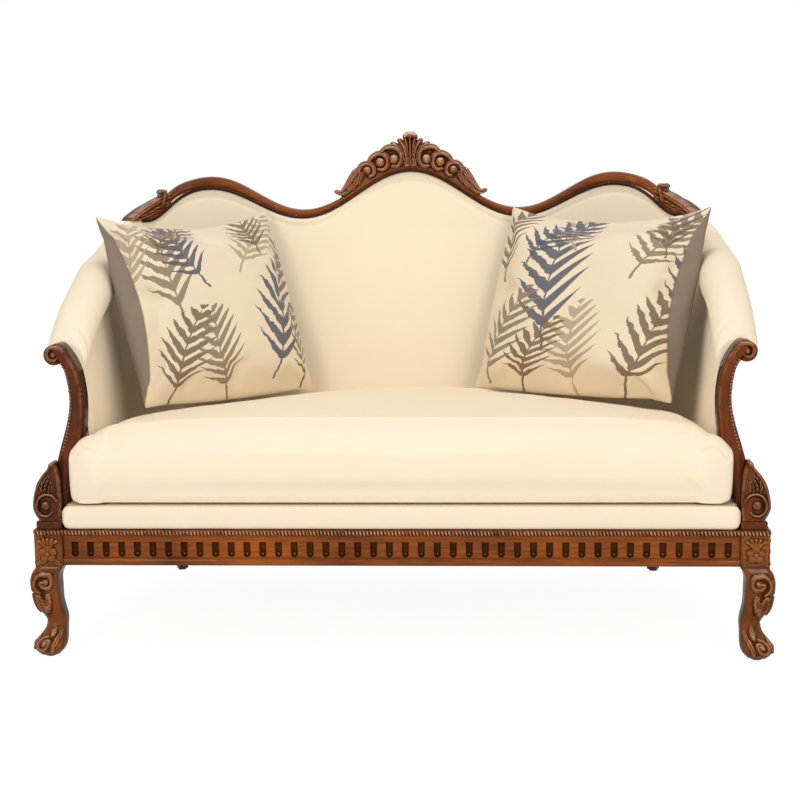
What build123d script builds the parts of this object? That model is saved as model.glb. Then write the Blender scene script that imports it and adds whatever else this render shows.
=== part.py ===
"""Two-seat upholstered settee with a carved show-wood frame.

Millimetres, +Z up, the front faces -Y, and the origin is on the floor under the middle of the settee.
The seat frame follows one U-shaped plan line: straight across the back, round two corners and
straight along the arms. Everything that pads, covers or carries the back and arms is a section
placed on that line, with its first coordinate measured outwards and its second upwards.
"""

import os
from collections import namedtuple
from math import atan, cos, degrees, hypot, pi, radians, sin, sqrt

from build123d import *

# Seat frame
FRONT_Y = -381.0  # front face of the corner blocks
BLOCK = 62.0  # side of the square corner blocks
LEG_HEIGHT = 205.0  # floor to the underside of the rails
RAIL_HEIGHT = 81.0
RAIL_THICK = 36.0
RAIL_INSET = 8.0  # rails stand back this far from the faces of the corner blocks
GLIDE_HEIGHT = 4.0
GLIDE_R = 11.0
GAP = 0.4  # room left between parts that lie beside each other

# Plan line of the seat: the inner faces of the arms and back where they meet the seat
SEAT_HALF = 672.0
WALL_THICK = 116.0  # from the plan line to the outer face of the corner blocks
SEAT_BACK_Y = 249.0
CORNER_R = 190.0

# Front legs: how far each level stands out from the block's outer and inner faces
KNEE_DROP = 44.0  # below the rails
KNEE_OUT = 11.0
ANKLE_Z = 84.0
ANKLE_IN = 10.0
TOE_Z = 30.0
TOE_OUT = 12.0
SOLE_OUTSET = 2.0
SOLE_INSET = -18.0
LEG_CORNER_R = 10.0

# Rear legs
REAR_LEG_ANGLE = 24.0  # degrees round the corner from the back
REAR_LEG_TOP = 36.0
REAR_LEG_FOOT = 26.0
REAR_LEG_RAKE = 67.0

# Fluted front rail
FLUTE_PITCH = 34.2
FLUTE_MARGIN = 22.0  # least distance from the corner blocks to the middle of a flute
FLUTE_WIDTH = 15.0
FLUTE_HEIGHT = 26.0
FLUTE_DEPTH = 5.0
FLUTE_FOOT = 26.0  # from the rail's underside to the foot of the flutes
FLUTE_BEAD_R = 4.2
RAIL_TORUS = 18.0  # height of the moulding along the rail's foot
RAIL_FILLET = 3.0  # how far the mouldings stand out from the fluted band
BEAD_STRIP = 12.0  # height of the carved strip along the top of the rails
BEAD_OUT = 8.0

# Seat deck, webbing and bracing
WEB_THICK = 2.0
WEB_WIDTH = 50.0
WEB_LENGTHWISE = 4
WEB_CROSSWISE = 8
DECK_HEIGHT = 51.0
DECK_LIP = 24.0  # depth of the border roll that stands forward over the front rail
DECK_LIP_R = 14.0
BRACE_WIDTH = 30.0
BRACE_HEIGHT = 45.0
BRACE_X = 260.0
CORNER_BLOCK = 70.0
CORNER_BLOCK_HEIGHT = 50.0
DOWEL_R = 5.0
DOWEL_LENGTH = 40.0
BOLT_R = 4.0
BOLT_LENGTH = 60.0
DUST_COVER = 1.0

# Arm fronts
STUMP_BACK = 88.0  # from the front plane to the back of the arm stumps
STUMP_THICK = 50.0
ARM_HEIGHT = 684.0
SCROLL_R = 22.0
SCROLL_INSET = 36.0  # from the block's outer face to the middle of the arm's scroll
SCROLL_GROOVE = 4.0
STUMP_WAIST_DROP = 131.0  # from the top of the arm to the stump's narrowest place
STUMP_WAIST_INSET = 6.0
STUMP_WAIST = 36.0
PLINTH_HEIGHT = 18.0
CONSOLE_HEIGHT = 126.0
CONSOLE_THICK = 34.0
CONSOLE_EYE_R = 11.0
ARM_BEAD_R = 3.0
ARM_BEAD_COUNT = 16
UPRIGHT_WIDTH = 40.0

# Back and arm wall
ARM_MID_RISE = 68.0  # how much higher the rolled arm is at each cut than at its front
ARM_REAR_RISE = 119.0
CORNER_RISE = 158.0
BACK_CORNER_Z = 932.0
COVER_THICK = 4.0
COVER_FOOT = 98.0  # outer cover's foot, measured outwards from the plan line

# Back frame, measured outwards from the plan line
UPRIGHT_FOOT = 48.0
UPRIGHT_FOOT_THICK = 44.0
UPRIGHT_LEAN = 0.089  # slope of the front and back faces
UPRIGHT_BACK_LEAN = 0.047
POST_WIDTH = 40.0
SLAT_WIDTH = 60.0
BACK_STRAPS = 4

# Top rail
RAIL_FRONT = 98.0  # front of the top rail, measured outwards from the plan line
RAIL_DEPTH = 46.0
ARCH_Z = 1044.0  # underside at the middle
VALLEY_X = 274.0
VALLEY_Z = 929.0
PEAK_INSET = 163.0  # inwards from the sides of the seat to the outer peaks
PEAK_Z = 1005.0
LEAF_INSET = 50.0  # inwards to where the carved leaf takes over from the moulded rail
LEAF_FOOT_INSET = 20.0  # inwards to where the leaf's underside levels out
END_OUTSET = 40.0  # outwards to the tip of the leaf
END_FALL = 78.0  # drop of the underside from the peak to the leaf's end
END_CURVE = 2.4  # power of that drop
ARCH_THICK = 14.0
VALLEY_THICK = 19.0
PEAK_THICK = 29.0
LEAF_SWELL = 56.0
LEAF_CURL = 30.0

# Crest
CREST_RISE = 96.0  # above the arch of the top rail
CREST_HALF = 196.0
CREST_THICK = 26.0
CREST_SETBACK = 5.0
SCROLL_ROWS = ((48.0, 31.0, 30.0), (82.0, 18.0, 27.0), (112.0, -2.0, 23.0))  # out, above the arch, radius
FAN_RIBS = 7
FAN_FOOT = 10.0  # above the arch
FAN_SPREAD = 62.0  # degrees from upright to the outermost rib

# Loose seat cushion
CUSHION_FRONT = 4.0  # its front bulges this far past the front plane
CUSHION_EAR = 36.0  # depth of the ears in front of the arm stumps
CUSHION_EAR_INSET = 12.0  # from the inner face of the corner blocks
CUSHION_HEIGHT = 186.0
CUSHION_END_HEIGHT = 158.0
CUSHION_BACK_GAP = 6.0
CUSHION_SIDE_GAP = 5.0
CUSHION_LIFT = 1.6
CUSHION_SEAM = 14.0  # height of the lower seam
COVER_CLOTH = 3.0

# Scatter pillows: half side, how far the sides draw in, half thickness
PILLOW_HALF = 236.0
PILLOW_DRAW = 20.0
PILLOW_PUFF = 68.0
PILLOW_LEAN = 20.0  # degrees back from upright
LEFT_PILLOW_RISE = 209.6  # middle of the pillows above the top of the cushion
RIGHT_PILLOW_RISE = 213.9
LEFT_PILLOW_IN = 192.0  # middle of the pillows from the plan line, across and forwards
LEFT_PILLOW_FORWARD = 151.0
LEFT_PILLOW_TURN = 40.0
RIGHT_PILLOW_IN = 206.0
RIGHT_PILLOW_FORWARD = 141.0
RIGHT_PILLOW_TURN = -32.0

FRAME_HALF = SEAT_HALF + WALL_THICK
RAIL_Z = LEG_HEIGHT
RAIL_TOP = LEG_HEIGHT + RAIL_HEIGHT
RAIL_OUT = FRAME_HALF - RAIL_INSET - SEAT_HALF
RAIL_IN = RAIL_OUT - RAIL_THICK
BLOCK_IN = FRAME_HALF - BLOCK
FLUTE_COUNT = int(2 * (BLOCK_IN - FLUTE_MARGIN) / FLUTE_PITCH) + 1
BACK_HALF = SEAT_HALF - CORNER_R
PEAK_X = SEAT_HALF - PEAK_INSET
LEAF_X = SEAT_HALF - LEAF_INSET
LEAF_FOOT_X = SEAT_HALF - LEAF_FOOT_INSET
END_X = SEAT_HALF + END_OUTSET
CORNER_Y = SEAT_BACK_Y - CORNER_R
CORNER_RUN = CORNER_R * pi / 2
STUMP_Y = FRONT_Y + STUMP_BACK
STUMP_FRONT_Y = STUMP_Y - STUMP_THICK
ARM_RUN = CORNER_Y - STUMP_Y
WALL_RUN = BACK_HALF + CORNER_RUN + ARM_RUN
DECK_TOP = RAIL_TOP + DECK_HEIGHT
PAD_FOOT_Z = DECK_TOP + 1.0
STUMP_WAIST_Z = ARM_HEIGHT - STUMP_WAIST_DROP
STUMP_WAIST_IN = SEAT_HALF + STUMP_WAIST_INSET
STUMP_WAIST_OUT = STUMP_WAIST_IN + STUMP_WAIST
SCROLL_X = FRAME_HALF - SCROLL_INSET
CREST_TOP = ARCH_Z + CREST_RISE
FAN_FOOT_Z = ARCH_Z + FAN_FOOT
CUSHION_LOW = DECK_TOP + CUSHION_LIFT
CUSHION_TOP = CUSHION_LOW + CUSHION_HEIGHT
CUSHION_EAR_HALF = BLOCK_IN - CUSHION_EAR_INSET
LEFT_PILLOW_AT = (LEFT_PILLOW_IN - SEAT_HALF, SEAT_BACK_Y - LEFT_PILLOW_FORWARD, CUSHION_TOP + LEFT_PILLOW_RISE)
RIGHT_PILLOW_AT = (SEAT_HALF - RIGHT_PILLOW_IN, SEAT_BACK_Y - RIGHT_PILLOW_FORWARD, CUSHION_TOP + RIGHT_PILLOW_RISE)
WEB_PITCH = 2 * (BACK_HALF - WEB_WIDTH) / (WEB_CROSSWISE - 1)
SLAT_X = 2 * WEB_PITCH  # the outer slats stand between two straps
CENTRE_BOTTOM = (Align.CENTER, Align.CENTER, Align.MIN)
BACK_BOTTOM = (Align.CENTER, Align.MIN, Align.MIN)

# A cut through the padded wall: run is the distance along the plan line from the middle of the back,
# the points are (outwards, up) on the face that a sitter touches, from low to high, and the last two
# are the directions from the crown and the tip to the pad's hidden face
WallCut = namedtuple("WallCut", "run belly shoulder crown tip foot_thick top_thick crown_in tip_in")
ROLLED = (None, None)
TURNING = ((0.95, -0.3), (0.0, -1.0))
FLAT = ((1.0, -0.1), (1.0, 0.0))
SEAT_TO_ARM = (PAD_FOOT_Z + ARM_HEIGHT) / 2


def arm_cut(run, rise, belly_out, shoulder_out, crown_out, foot_thick, top_thick):
    """A cut through the rolled arm, raised by rise above the height of its front."""
    top = ARM_HEIGHT + 3 + rise
    points = (
        (belly_out, SEAT_TO_ARM + rise / 4),
        (shoulder_out, top - 75 - rise / 8),
        (crown_out, top),
        (crown_out + 37, top - 32),
    )
    return WallCut(run, *points, foot_thick, top_thick, *ROLLED)


ARM_FRONT_CUT = arm_cut(WALL_RUN, 0.0, 5, 17, 62, 22, 18)
ARM_MID_CUT = arm_cut(WALL_RUN - 0.32 * ARM_RUN, ARM_MID_RISE, 7, 26, 66, 24, 19)
ARM_REAR_CUT = arm_cut(WALL_RUN - 0.66 * ARM_RUN, ARM_REAR_RISE, 12, 34, 70, 28, 19)
CORNER_START_CUT = arm_cut(BACK_HALF + CORNER_RUN, CORNER_RISE, 18, 42, 75, 32, 19)
CORNER_CUT = WallCut(
    BACK_HALF + CORNER_RUN / 2,
    (40, (PAD_FOOT_Z + BACK_CORNER_Z) / 2 - 35),
    (76, BACK_CORNER_Z - 132),
    (90, BACK_CORNER_Z - 52),
    (100, BACK_CORNER_Z),
    34,
    8,
    *TURNING,
)
BACK_END_CUT = WallCut(
    BACK_HALF,
    (50, (PAD_FOOT_Z + VALLEY_Z) / 2),
    (90, VALLEY_Z - 29),
    (98, (VALLEY_Z + ARCH_Z) / 2 + 14),
    (102, ARCH_Z + 46),
    34,
    8,
    *FLAT,
)
BACK_SIDE_CUT = BACK_END_CUT._replace(run=BACK_HALF / 2)
BACK_MID_CUT = BACK_END_CUT._replace(run=0.0)
ARM_CUTS = (ARM_FRONT_CUT, ARM_MID_CUT, ARM_REAR_CUT, CORNER_START_CUT, CORNER_CUT)
BACK_CUTS = (CORNER_CUT, BACK_END_CUT, BACK_SIDE_CUT, BACK_MID_CUT)

# A cut through the outer cover: foot is on the seat rails, waist half way up, head under the roll or rail
CoverCut = namedtuple("CoverCut", "run waist head")
COVER_CUTS = (
    CoverCut(ARM_FRONT_CUT.run, (50, SEAT_TO_ARM - 31), (60, ARM_HEIGHT - 62)),
    CoverCut(ARM_MID_CUT.run, (60, SEAT_TO_ARM - 11), (66, ARM_HEIGHT + ARM_MID_RISE - 76)),
    CoverCut(ARM_REAR_CUT.run, (72, SEAT_TO_ARM + 9), (74, ARM_HEIGHT + ARM_REAR_RISE - 82)),
    CoverCut(CORNER_START_CUT.run, (84, SEAT_TO_ARM + 29), (83, ARM_HEIGHT + CORNER_RISE - 84)),
    CoverCut(CORNER_CUT.run, (112, CORNER_CUT.belly[1]), (136, BACK_CORNER_Z - 6)),
)
BACK_COVER = CoverCut(BACK_END_CUT.run, (117, BACK_END_CUT.belly[1]), (138, BACK_END_CUT.tip[1]))
BACK_COVER_CUTS = (
    COVER_CUTS[-1],
    BACK_COVER,
    BACK_COVER._replace(run=BACK_SIDE_CUT.run),
    BACK_COVER._replace(run=BACK_MID_CUT.run),
)


def wall_frame(side, run):
    """Point on the plan line and the outward direction there; side is -1 for left and 1 for right."""
    if run <= BACK_HALF:
        return (side * run, SEAT_BACK_Y), (0.0, 1.0)
    turn = min((run - BACK_HALF) / CORNER_R, pi / 2)
    out = (side * sin(turn), cos(turn))
    x = side * (BACK_HALF + CORNER_R * sin(turn))
    y = CORNER_Y + CORNER_R * cos(turn) - max(0.0, run - BACK_HALF - CORNER_RUN)
    return (x, y), out


def wall_plane(side, run):
    """Upright plane across the wall: its X runs outwards and its Y upwards."""
    (x, y), out = wall_frame(side, run)
    return Plane(origin=(x, y, 0), x_dir=(out[0], out[1], 0), z_dir=(out[1], -out[0], 0))


def shifted(point, out, up):
    """A (outwards, up) point moved by the given amounts."""
    return (point[0] + out, point[1] + up)


def mirrored(part):
    """The same piece on the other side of the settee."""
    return mirror(part, about=Plane.YZ)


def pair(name, right):
    """Left and right nodes from the right-hand piece."""
    return {f"{name}_left": mirrored(right), f"{name}_right": right}


def group(solids):
    """Separate solids that share one node."""
    return Compound([solid for part in solids for solid in part.solids()])


def block(low, high):
    """Box between two corners."""
    size = [b - a for a, b in zip(low, high)]
    return Pos(*low) * Box(*size, align=(Align.MIN, Align.MIN, Align.MIN))


def front_plane(y):
    """Upright plane facing the front, with X to the right and Y up."""
    return Plane(origin=(0, y, 0), x_dir=(1, 0, 0), z_dir=(0, -1, 0))


def plan_outline(offset, front):
    """Closed plan outline of the seat, moved outwards by offset and cut off square at the front."""
    half, back, radius = SEAT_HALF + offset, SEAT_BACK_Y + offset, CORNER_R + offset
    lean = radius * sin(radians(45))
    left = ThreePointArc((-half, CORNER_Y), (-BACK_HALF - lean, CORNER_Y + lean), (-BACK_HALF, back))
    right = ThreePointArc((BACK_HALF, back), (BACK_HALF + lean, CORNER_Y + lean), (half, CORNER_Y))
    sides = [
        Line((-half, front), (-half, CORNER_Y)),
        left,
        Line((-BACK_HALF, back), (BACK_HALF, back)),
        right,
        Line((half, CORNER_Y), (half, front)),
        Line((half, front), (-half, front)),
    ]
    return make_face(sides)


# Top rail line


def rail_underside(x):
    """Height of the top rail's underside: a cosine from the arch to the valley, another up to the
    outer peak, and a steepening fall that is eased into a level foot under the leaf."""
    x = abs(x)
    if x <= VALLEY_X:
        middle, swing = (ARCH_Z + VALLEY_Z) / 2, (ARCH_Z - VALLEY_Z) / 2
        return middle + swing * cos(pi * x / VALLEY_X)
    if x <= PEAK_X:
        middle, swing = (PEAK_Z + VALLEY_Z) / 2, (PEAK_Z - VALLEY_Z) / 2
        return middle - swing * cos(pi * (x - VALLEY_X) / (PEAK_X - VALLEY_X))
    fall = ((x - PEAK_X) / (LEAF_FOOT_X - PEAK_X)) ** END_CURVE
    ease = max(0.0, 0.5 - abs(fall - 1))
    return PEAK_Z - END_FALL * (min(fall, 1.0) - ease**2 / 2)


def rail_thickness(x):
    """Height of the top rail's section, eased from the arch through the valley to the outer peak."""
    x = abs(x)
    if x <= VALLEY_X:
        return ARCH_THICK + (VALLEY_THICK - ARCH_THICK) * (1 - cos(pi * x / VALLEY_X)) / 2
    share = min(1.0, (x - VALLEY_X) / (PEAK_X - VALLEY_X))
    return VALLEY_THICK + (PEAK_THICK - VALLEY_THICK) * (1 - cos(pi * share)) / 2


def rail_plan(x, out):
    """Y of a line that keeps the given distance outwards from the plan line, and the outward direction."""
    radius = CORNER_R + out
    side = -1 if x < 0 else 1
    if abs(x) <= BACK_HALF:
        return SEAT_BACK_Y + out, (0.0, 1.0)
    share = min(1.0, (abs(x) - BACK_HALF) / radius)
    return CORNER_Y + radius * sqrt(1 - share**2), (side * share, sqrt(1 - share**2))


def rail_plane(x, lift):
    """Plane across the top rail: X runs outwards through the rail's depth, Y up across its thickness."""
    middle = RAIL_FRONT + RAIL_DEPTH / 2
    step = 1.0
    y, out = rail_plan(x, middle)
    ahead = Vector(x + step, rail_plan(x + step, middle)[0], rail_underside(x + step))
    behind = Vector(x - step, rail_plan(x - step, middle)[0], rail_underside(x - step))
    along = (behind - ahead).normalized()
    across = Vector(out[0], out[1], 0)
    across = (across - along * across.dot(along)).normalized()
    return Plane(origin=(x, y, rail_underside(x) + lift), x_dir=across, z_dir=across.cross(Vector(0, 0, 1)))


def rail_space():
    """Everything above the underside of the top rail and its leaves, for cutting upholstery to them."""
    count = 36
    width = 3 * RAIL_DEPTH
    xs = [END_X * i / count for i in range(-count, count + 1)]
    corner = (Align.CENTER, Align.MIN)
    return loft([rail_plane(x, -4 * GAP) * Rectangle(width, CREST_TOP - VALLEY_Z, align=corner) for x in xs])


# Seat frame pieces


def front_leg():
    """Cabriole leg with its corner block, on the right: a loft of rounded squares on the diagonal."""
    levels = (
        (RAIL_Z, 0.0, 0.0),
        (RAIL_Z - KNEE_DROP / 2, KNEE_OUT * 0.8, -9.0),
        (RAIL_Z - KNEE_DROP, KNEE_OUT, -9.0),
        (RAIL_Z - 1.75 * KNEE_DROP, 8.0, -8.0),
        ((RAIL_Z - 1.75 * KNEE_DROP + ANKLE_Z) / 2, 2.0, -5.0),
        (ANKLE_Z, -ANKLE_IN, -2.0),
        ((ANKLE_Z + TOE_Z) / 2, -0.8 * ANKLE_IN, -3.0),
        (TOE_Z, TOE_OUT, -3.0),
        (TOE_Z / 2, TOE_OUT, -8.0),
        (GLIDE_HEIGHT, SOLE_OUTSET, SOLE_INSET),
    )
    sections = []
    for z, out, inner in levels:
        side = BLOCK + out + inner
        middle = (out - inner) / 2
        spot = Pos(BLOCK_IN + BLOCK / 2 + middle, FRONT_Y + BLOCK / 2 - middle, z)
        sections.append(spot * RectangleRounded(side, side, LEG_CORNER_R))
    low = (BLOCK_IN, FRONT_Y, RAIL_Z)
    corner = block(low, (FRAME_HALF, FRONT_Y + BLOCK, RAIL_TOP))
    return corner + loft(sections)


def rear_leg():
    """Plain raked rear leg under the right-hand corner rail."""
    turn = radians(REAR_LEG_ANGLE)
    sections = []
    for share in (0.0, 0.35, 0.7, 1.0):
        side = REAR_LEG_TOP + (REAR_LEG_FOOT - REAR_LEG_TOP) * share
        reach = CORNER_R + (RAIL_IN + RAIL_OUT) / 2 + REAR_LEG_RAKE * share**2
        z = RAIL_Z + (GLIDE_HEIGHT - RAIL_Z) * share
        spot = Plane(
            origin=(BACK_HALF + reach * sin(turn), CORNER_Y + reach * cos(turn), z),
            x_dir=(sin(turn), cos(turn), 0),
            z_dir=(0, 0, 1),
        )
        sections.append(spot * RectangleRounded(side, side, 3))
    return loft(sections)


def rear_foot_centre():
    """Middle of the right-hand rear foot on the floor."""
    turn = radians(REAR_LEG_ANGLE)
    reach = CORNER_R + (RAIL_IN + RAIL_OUT) / 2 + REAR_LEG_RAKE
    return BACK_HALF + reach * sin(turn), CORNER_Y + reach * cos(turn)


def feet_glides():
    """Four round glides, one under each foot."""
    shift = (SOLE_OUTSET - SOLE_INSET) / 2
    front_x = BLOCK_IN + BLOCK / 2 + shift
    front_y = FRONT_Y + BLOCK / 2 - shift
    rear_x, rear_y = rear_foot_centre()
    spots = [(side * x, y) for x, y in ((front_x, front_y), (rear_x, rear_y)) for side in (-1, 1)]
    return group([Pos(x, y, 0) * Cylinder(GLIDE_R, GLIDE_HEIGHT, align=CENTRE_BOTTOM) for x, y in spots])


def front_rail():
    """Front seat rail: moulded section, a row of stopped flutes and a bead in the foot of each."""
    face_y = FRONT_Y + RAIL_INSET
    band_y = face_y + RAIL_FILLET
    back_y = face_y + RAIL_THICK
    flute_z = RAIL_Z + FLUTE_FOOT
    band_top = flute_z + FLUTE_HEIGHT + FLUTE_WIDTH / 2
    torus_top = RAIL_Z + RAIL_TORUS
    outline = [
        Line((back_y, RAIL_Z), (face_y + 2, RAIL_Z)),
        ThreePointArc((face_y + 2, RAIL_Z), (face_y - 3, (RAIL_Z + torus_top) / 2), (face_y + 2, torus_top)),
        Polyline([(face_y + 2, torus_top), (band_y, torus_top), (band_y, band_top), (face_y, band_top)]),
        Polyline([(face_y, band_top), (face_y, RAIL_TOP), (back_y, RAIL_TOP), (back_y, RAIL_Z)]),
    ]
    section = Plane(origin=(-BLOCK_IN, 0, 0), x_dir=(0, 1, 0), z_dir=(1, 0, 0)) * make_face(outline)
    rail = extrude(section, 2 * BLOCK_IN)
    first = -FLUTE_PITCH * (FLUTE_COUNT - 1) / 2
    slots, beads = [], []
    for i in range(FLUTE_COUNT):
        x = first + i * FLUTE_PITCH
        slot = Rectangle(FLUTE_WIDTH, FLUTE_HEIGHT, align=(Align.CENTER, Align.MIN)) + Circle(FLUTE_WIDTH / 2)
        slots.append(extrude(front_plane(band_y) * Pos(x, flute_z) * slot, -FLUTE_DEPTH))
        beads.append(Pos(x, band_y + FLUTE_DEPTH, flute_z) * Sphere(FLUTE_BEAD_R))
    return rail - slots + beads


def side_rail():
    """Right-hand side rail, from the corner block to the curved corner rail."""
    low = (SEAT_HALF + RAIL_IN, FRONT_Y + BLOCK, RAIL_Z)
    return block(low, (SEAT_HALF + RAIL_OUT, CORNER_Y, RAIL_TOP))


def corner_rail():
    """Right-hand rear corner rail, a quarter ring."""
    ring = Pos(BACK_HALF, CORNER_Y) * (Circle(CORNER_R + RAIL_OUT) - Circle(CORNER_R + RAIL_IN))
    reach = CORNER_R + RAIL_OUT
    quarter = Pos(BACK_HALF, CORNER_Y) * Rectangle(reach, reach, align=(Align.MIN, Align.MIN))
    rail = extrude(Pos(0, 0, RAIL_Z) * (ring & quarter), RAIL_HEIGHT)
    return rail - rear_bolt_shank()


def rear_bolt_shank():
    """Hanger bolt between the right-hand rear leg and the corner rail."""
    turn = radians(REAR_LEG_ANGLE)
    reach = CORNER_R + (RAIL_IN + RAIL_OUT) / 2
    spot = Pos(BACK_HALF + reach * sin(turn), CORNER_Y + reach * cos(turn), RAIL_Z)
    return spot * Cylinder(BOLT_R, BOLT_LENGTH)


def back_rail():
    """Straight rear seat rail."""
    low = (-BACK_HALF, SEAT_BACK_Y + RAIL_IN, RAIL_Z)
    return block(low, (BACK_HALF, SEAT_BACK_Y + RAIL_OUT, RAIL_TOP))


def front_strip():
    """Carved strip along the front, over both corner blocks and the rail between them."""
    low, high = RAIL_TOP - BEAD_STRIP, RAIL_TOP
    curve = ThreePointArc((FRONT_Y, low), (FRONT_Y - BEAD_OUT, (low + high) / 2), (FRONT_Y, high))
    over_rail = FRONT_Y + RAIL_INSET
    section = make_face([curve, Line((FRONT_Y, high), (FRONT_Y, low))])
    plane = Plane(origin=(-FRAME_HALF, 0, 0), x_dir=(0, 1, 0), z_dir=(1, 0, 0))
    strip = extrude(plane * section, 2 * FRAME_HALF)
    return strip + block((-BLOCK_IN, FRONT_Y, low), (BLOCK_IN, over_rail, high))


def side_strip():
    """Carved strip along the right-hand side: over the block, the side rail and the corner rail."""
    low, high = RAIL_TOP - BEAD_STRIP, RAIL_TOP
    face = FRAME_HALF
    curve = ThreePointArc((face, low), (face + BEAD_OUT, (low + high) / 2), (face, high))
    section = make_face([curve, Line((face, high), (face, low))])
    plane = Plane(origin=(0, FRONT_Y, 0), x_dir=(1, 0, 0), z_dir=(0, -1, 0))
    strip = extrude(plane * section, -(CORNER_Y - FRONT_Y))
    return strip + block((SEAT_HALF + RAIL_OUT, FRONT_Y + BLOCK, low), (face, CORNER_Y, high))


def corner_blocks():
    """Glue blocks inside the two front corners."""
    x = SEAT_HALF + RAIL_IN
    y = FRONT_Y + RAIL_INSET + RAIL_THICK
    foot = BLOCK_IN
    outline = Polyline(
        [(foot, y), (foot - CORNER_BLOCK, y), (x, FRONT_Y + BLOCK + CORNER_BLOCK), (x, FRONT_Y + BLOCK),
         (foot, FRONT_Y + BLOCK), (foot, y)]
    )
    z = RAIL_Z + (RAIL_HEIGHT - CORNER_BLOCK_HEIGHT) / 2
    right = extrude(Pos(0, 0, z) * make_face(outline), CORNER_BLOCK_HEIGHT)
    return group([right, mirrored(right)])


def seat_braces():
    """Two braces from the front rail to the back rail, low in the frame."""
    low_y = FRONT_Y + RAIL_INSET + RAIL_THICK
    high_y = SEAT_BACK_Y + RAIL_IN
    z = RAIL_Z + 10.0
    braces = [
        block((x - BRACE_WIDTH / 2, low_y, z), (x + BRACE_WIDTH / 2, high_y, z + BRACE_HEIGHT))
        for x in (-BRACE_X, BRACE_X)
    ]
    return group(braces)


def webbing_lengthwise():
    """Straps from side rail to side rail, stapled on top of the rails."""
    half = SEAT_HALF + RAIL_IN + RAIL_THICK / 3
    first, last = STUMP_Y + WEB_WIDTH, CORNER_Y - UPRIGHT_WIDTH - WEB_WIDTH
    straps = []
    for i in range(WEB_LENGTHWISE):
        y = first + (last - first) * i / (WEB_LENGTHWISE - 1)
        low = (-half, y - WEB_WIDTH / 2, RAIL_TOP)
        straps.append(block(low, (half, y + WEB_WIDTH / 2, RAIL_TOP + WEB_THICK)))
    return group(straps)


def webbing_crosswise():
    """Straps from the front rail to the back rail, over the lengthwise ones."""
    low_y = FRONT_Y + DECK_LIP + 2 * GAP
    high_y = SEAT_BACK_Y + RAIL_IN + RAIL_THICK / 3
    straps = []
    for i in range(WEB_CROSSWISE):
        x = WEB_PITCH * (i - (WEB_CROSSWISE - 1) / 2)
        low = (x - WEB_WIDTH / 2, low_y, RAIL_TOP + WEB_THICK)
        straps.append(block(low, (x + WEB_WIDTH / 2, high_y, RAIL_TOP + 2 * WEB_THICK)))
    return group(straps)


def seat_deck():
    """Padded deck under the loose cushion, with the border roll that shows below it."""
    low_z = RAIL_TOP + 2 * WEB_THICK
    main = extrude(Pos(0, 0, low_z) * plan_outline(-GAP, STUMP_Y + GAP), DECK_TOP - low_z)
    back_of_lip = FRONT_Y + DECK_LIP
    neck = block((-SEAT_HALF + GAP, back_of_lip, low_z), (SEAT_HALF - GAP, STUMP_Y + GAP, DECK_TOP))
    lip_half = BLOCK_IN - GAP
    lip = block((-lip_half, FRONT_Y, RAIL_TOP + GAP), (lip_half, back_of_lip, DECK_TOP))
    long_edges = lip.edges().filter_by(Axis.X).group_by(Axis.Y)[0]
    end_edges = lip.edges().filter_by(Axis.Z).group_by(Axis.Y)[0]
    lip = fillet(long_edges + end_edges, DECK_LIP_R)
    return main + neck + lip


def dust_cover():
    """Cloth stapled under the seat frame."""
    sheet = plan_outline(RAIL_IN + 4.0, FRONT_Y + RAIL_INSET + RAIL_THICK / 2)
    sheet = extrude(Pos(0, 0, RAIL_Z - DUST_COVER) * sheet, DUST_COVER)
    for side in (-1, 1):
        near = side * (BLOCK_IN - BLOCK / 2)
        far = side * (FRAME_HALF + KNEE_OUT)
        low = (min(near, far), FRONT_Y - BLOCK, 0)
        sheet -= block(low, (max(near, far), FRONT_Y + 1.5 * BLOCK, RAIL_TOP))
        x, y = rear_foot_centre()
        sheet -= Pos(side * x, y, RAIL_Z) * Cylinder(REAR_LEG_RAKE + REAR_LEG_TOP, BLOCK)
    return sheet


def dowel_right():
    """Dowels that join the right-hand corner block to the front rail and the side rail."""
    rail_y = FRONT_Y + RAIL_INSET + RAIL_THICK / 2
    rail_x = SEAT_HALF + (RAIL_IN + RAIL_OUT) / 2
    dowels = []
    for z in (RAIL_Z + RAIL_HEIGHT / 4, RAIL_Z + RAIL_HEIGHT * 3 / 4):
        along_x = Plane(origin=(BLOCK_IN, rail_y, z), z_dir=(1, 0, 0))
        along_y = Plane(origin=(rail_x, FRONT_Y + BLOCK, z + 3 * DOWEL_R / 2), z_dir=(0, 1, 0))
        dowels += [along_x * Cylinder(DOWEL_R, DOWEL_LENGTH), along_y * Cylinder(DOWEL_R, DOWEL_LENGTH)]
    return dowels


# Arm fronts


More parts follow.
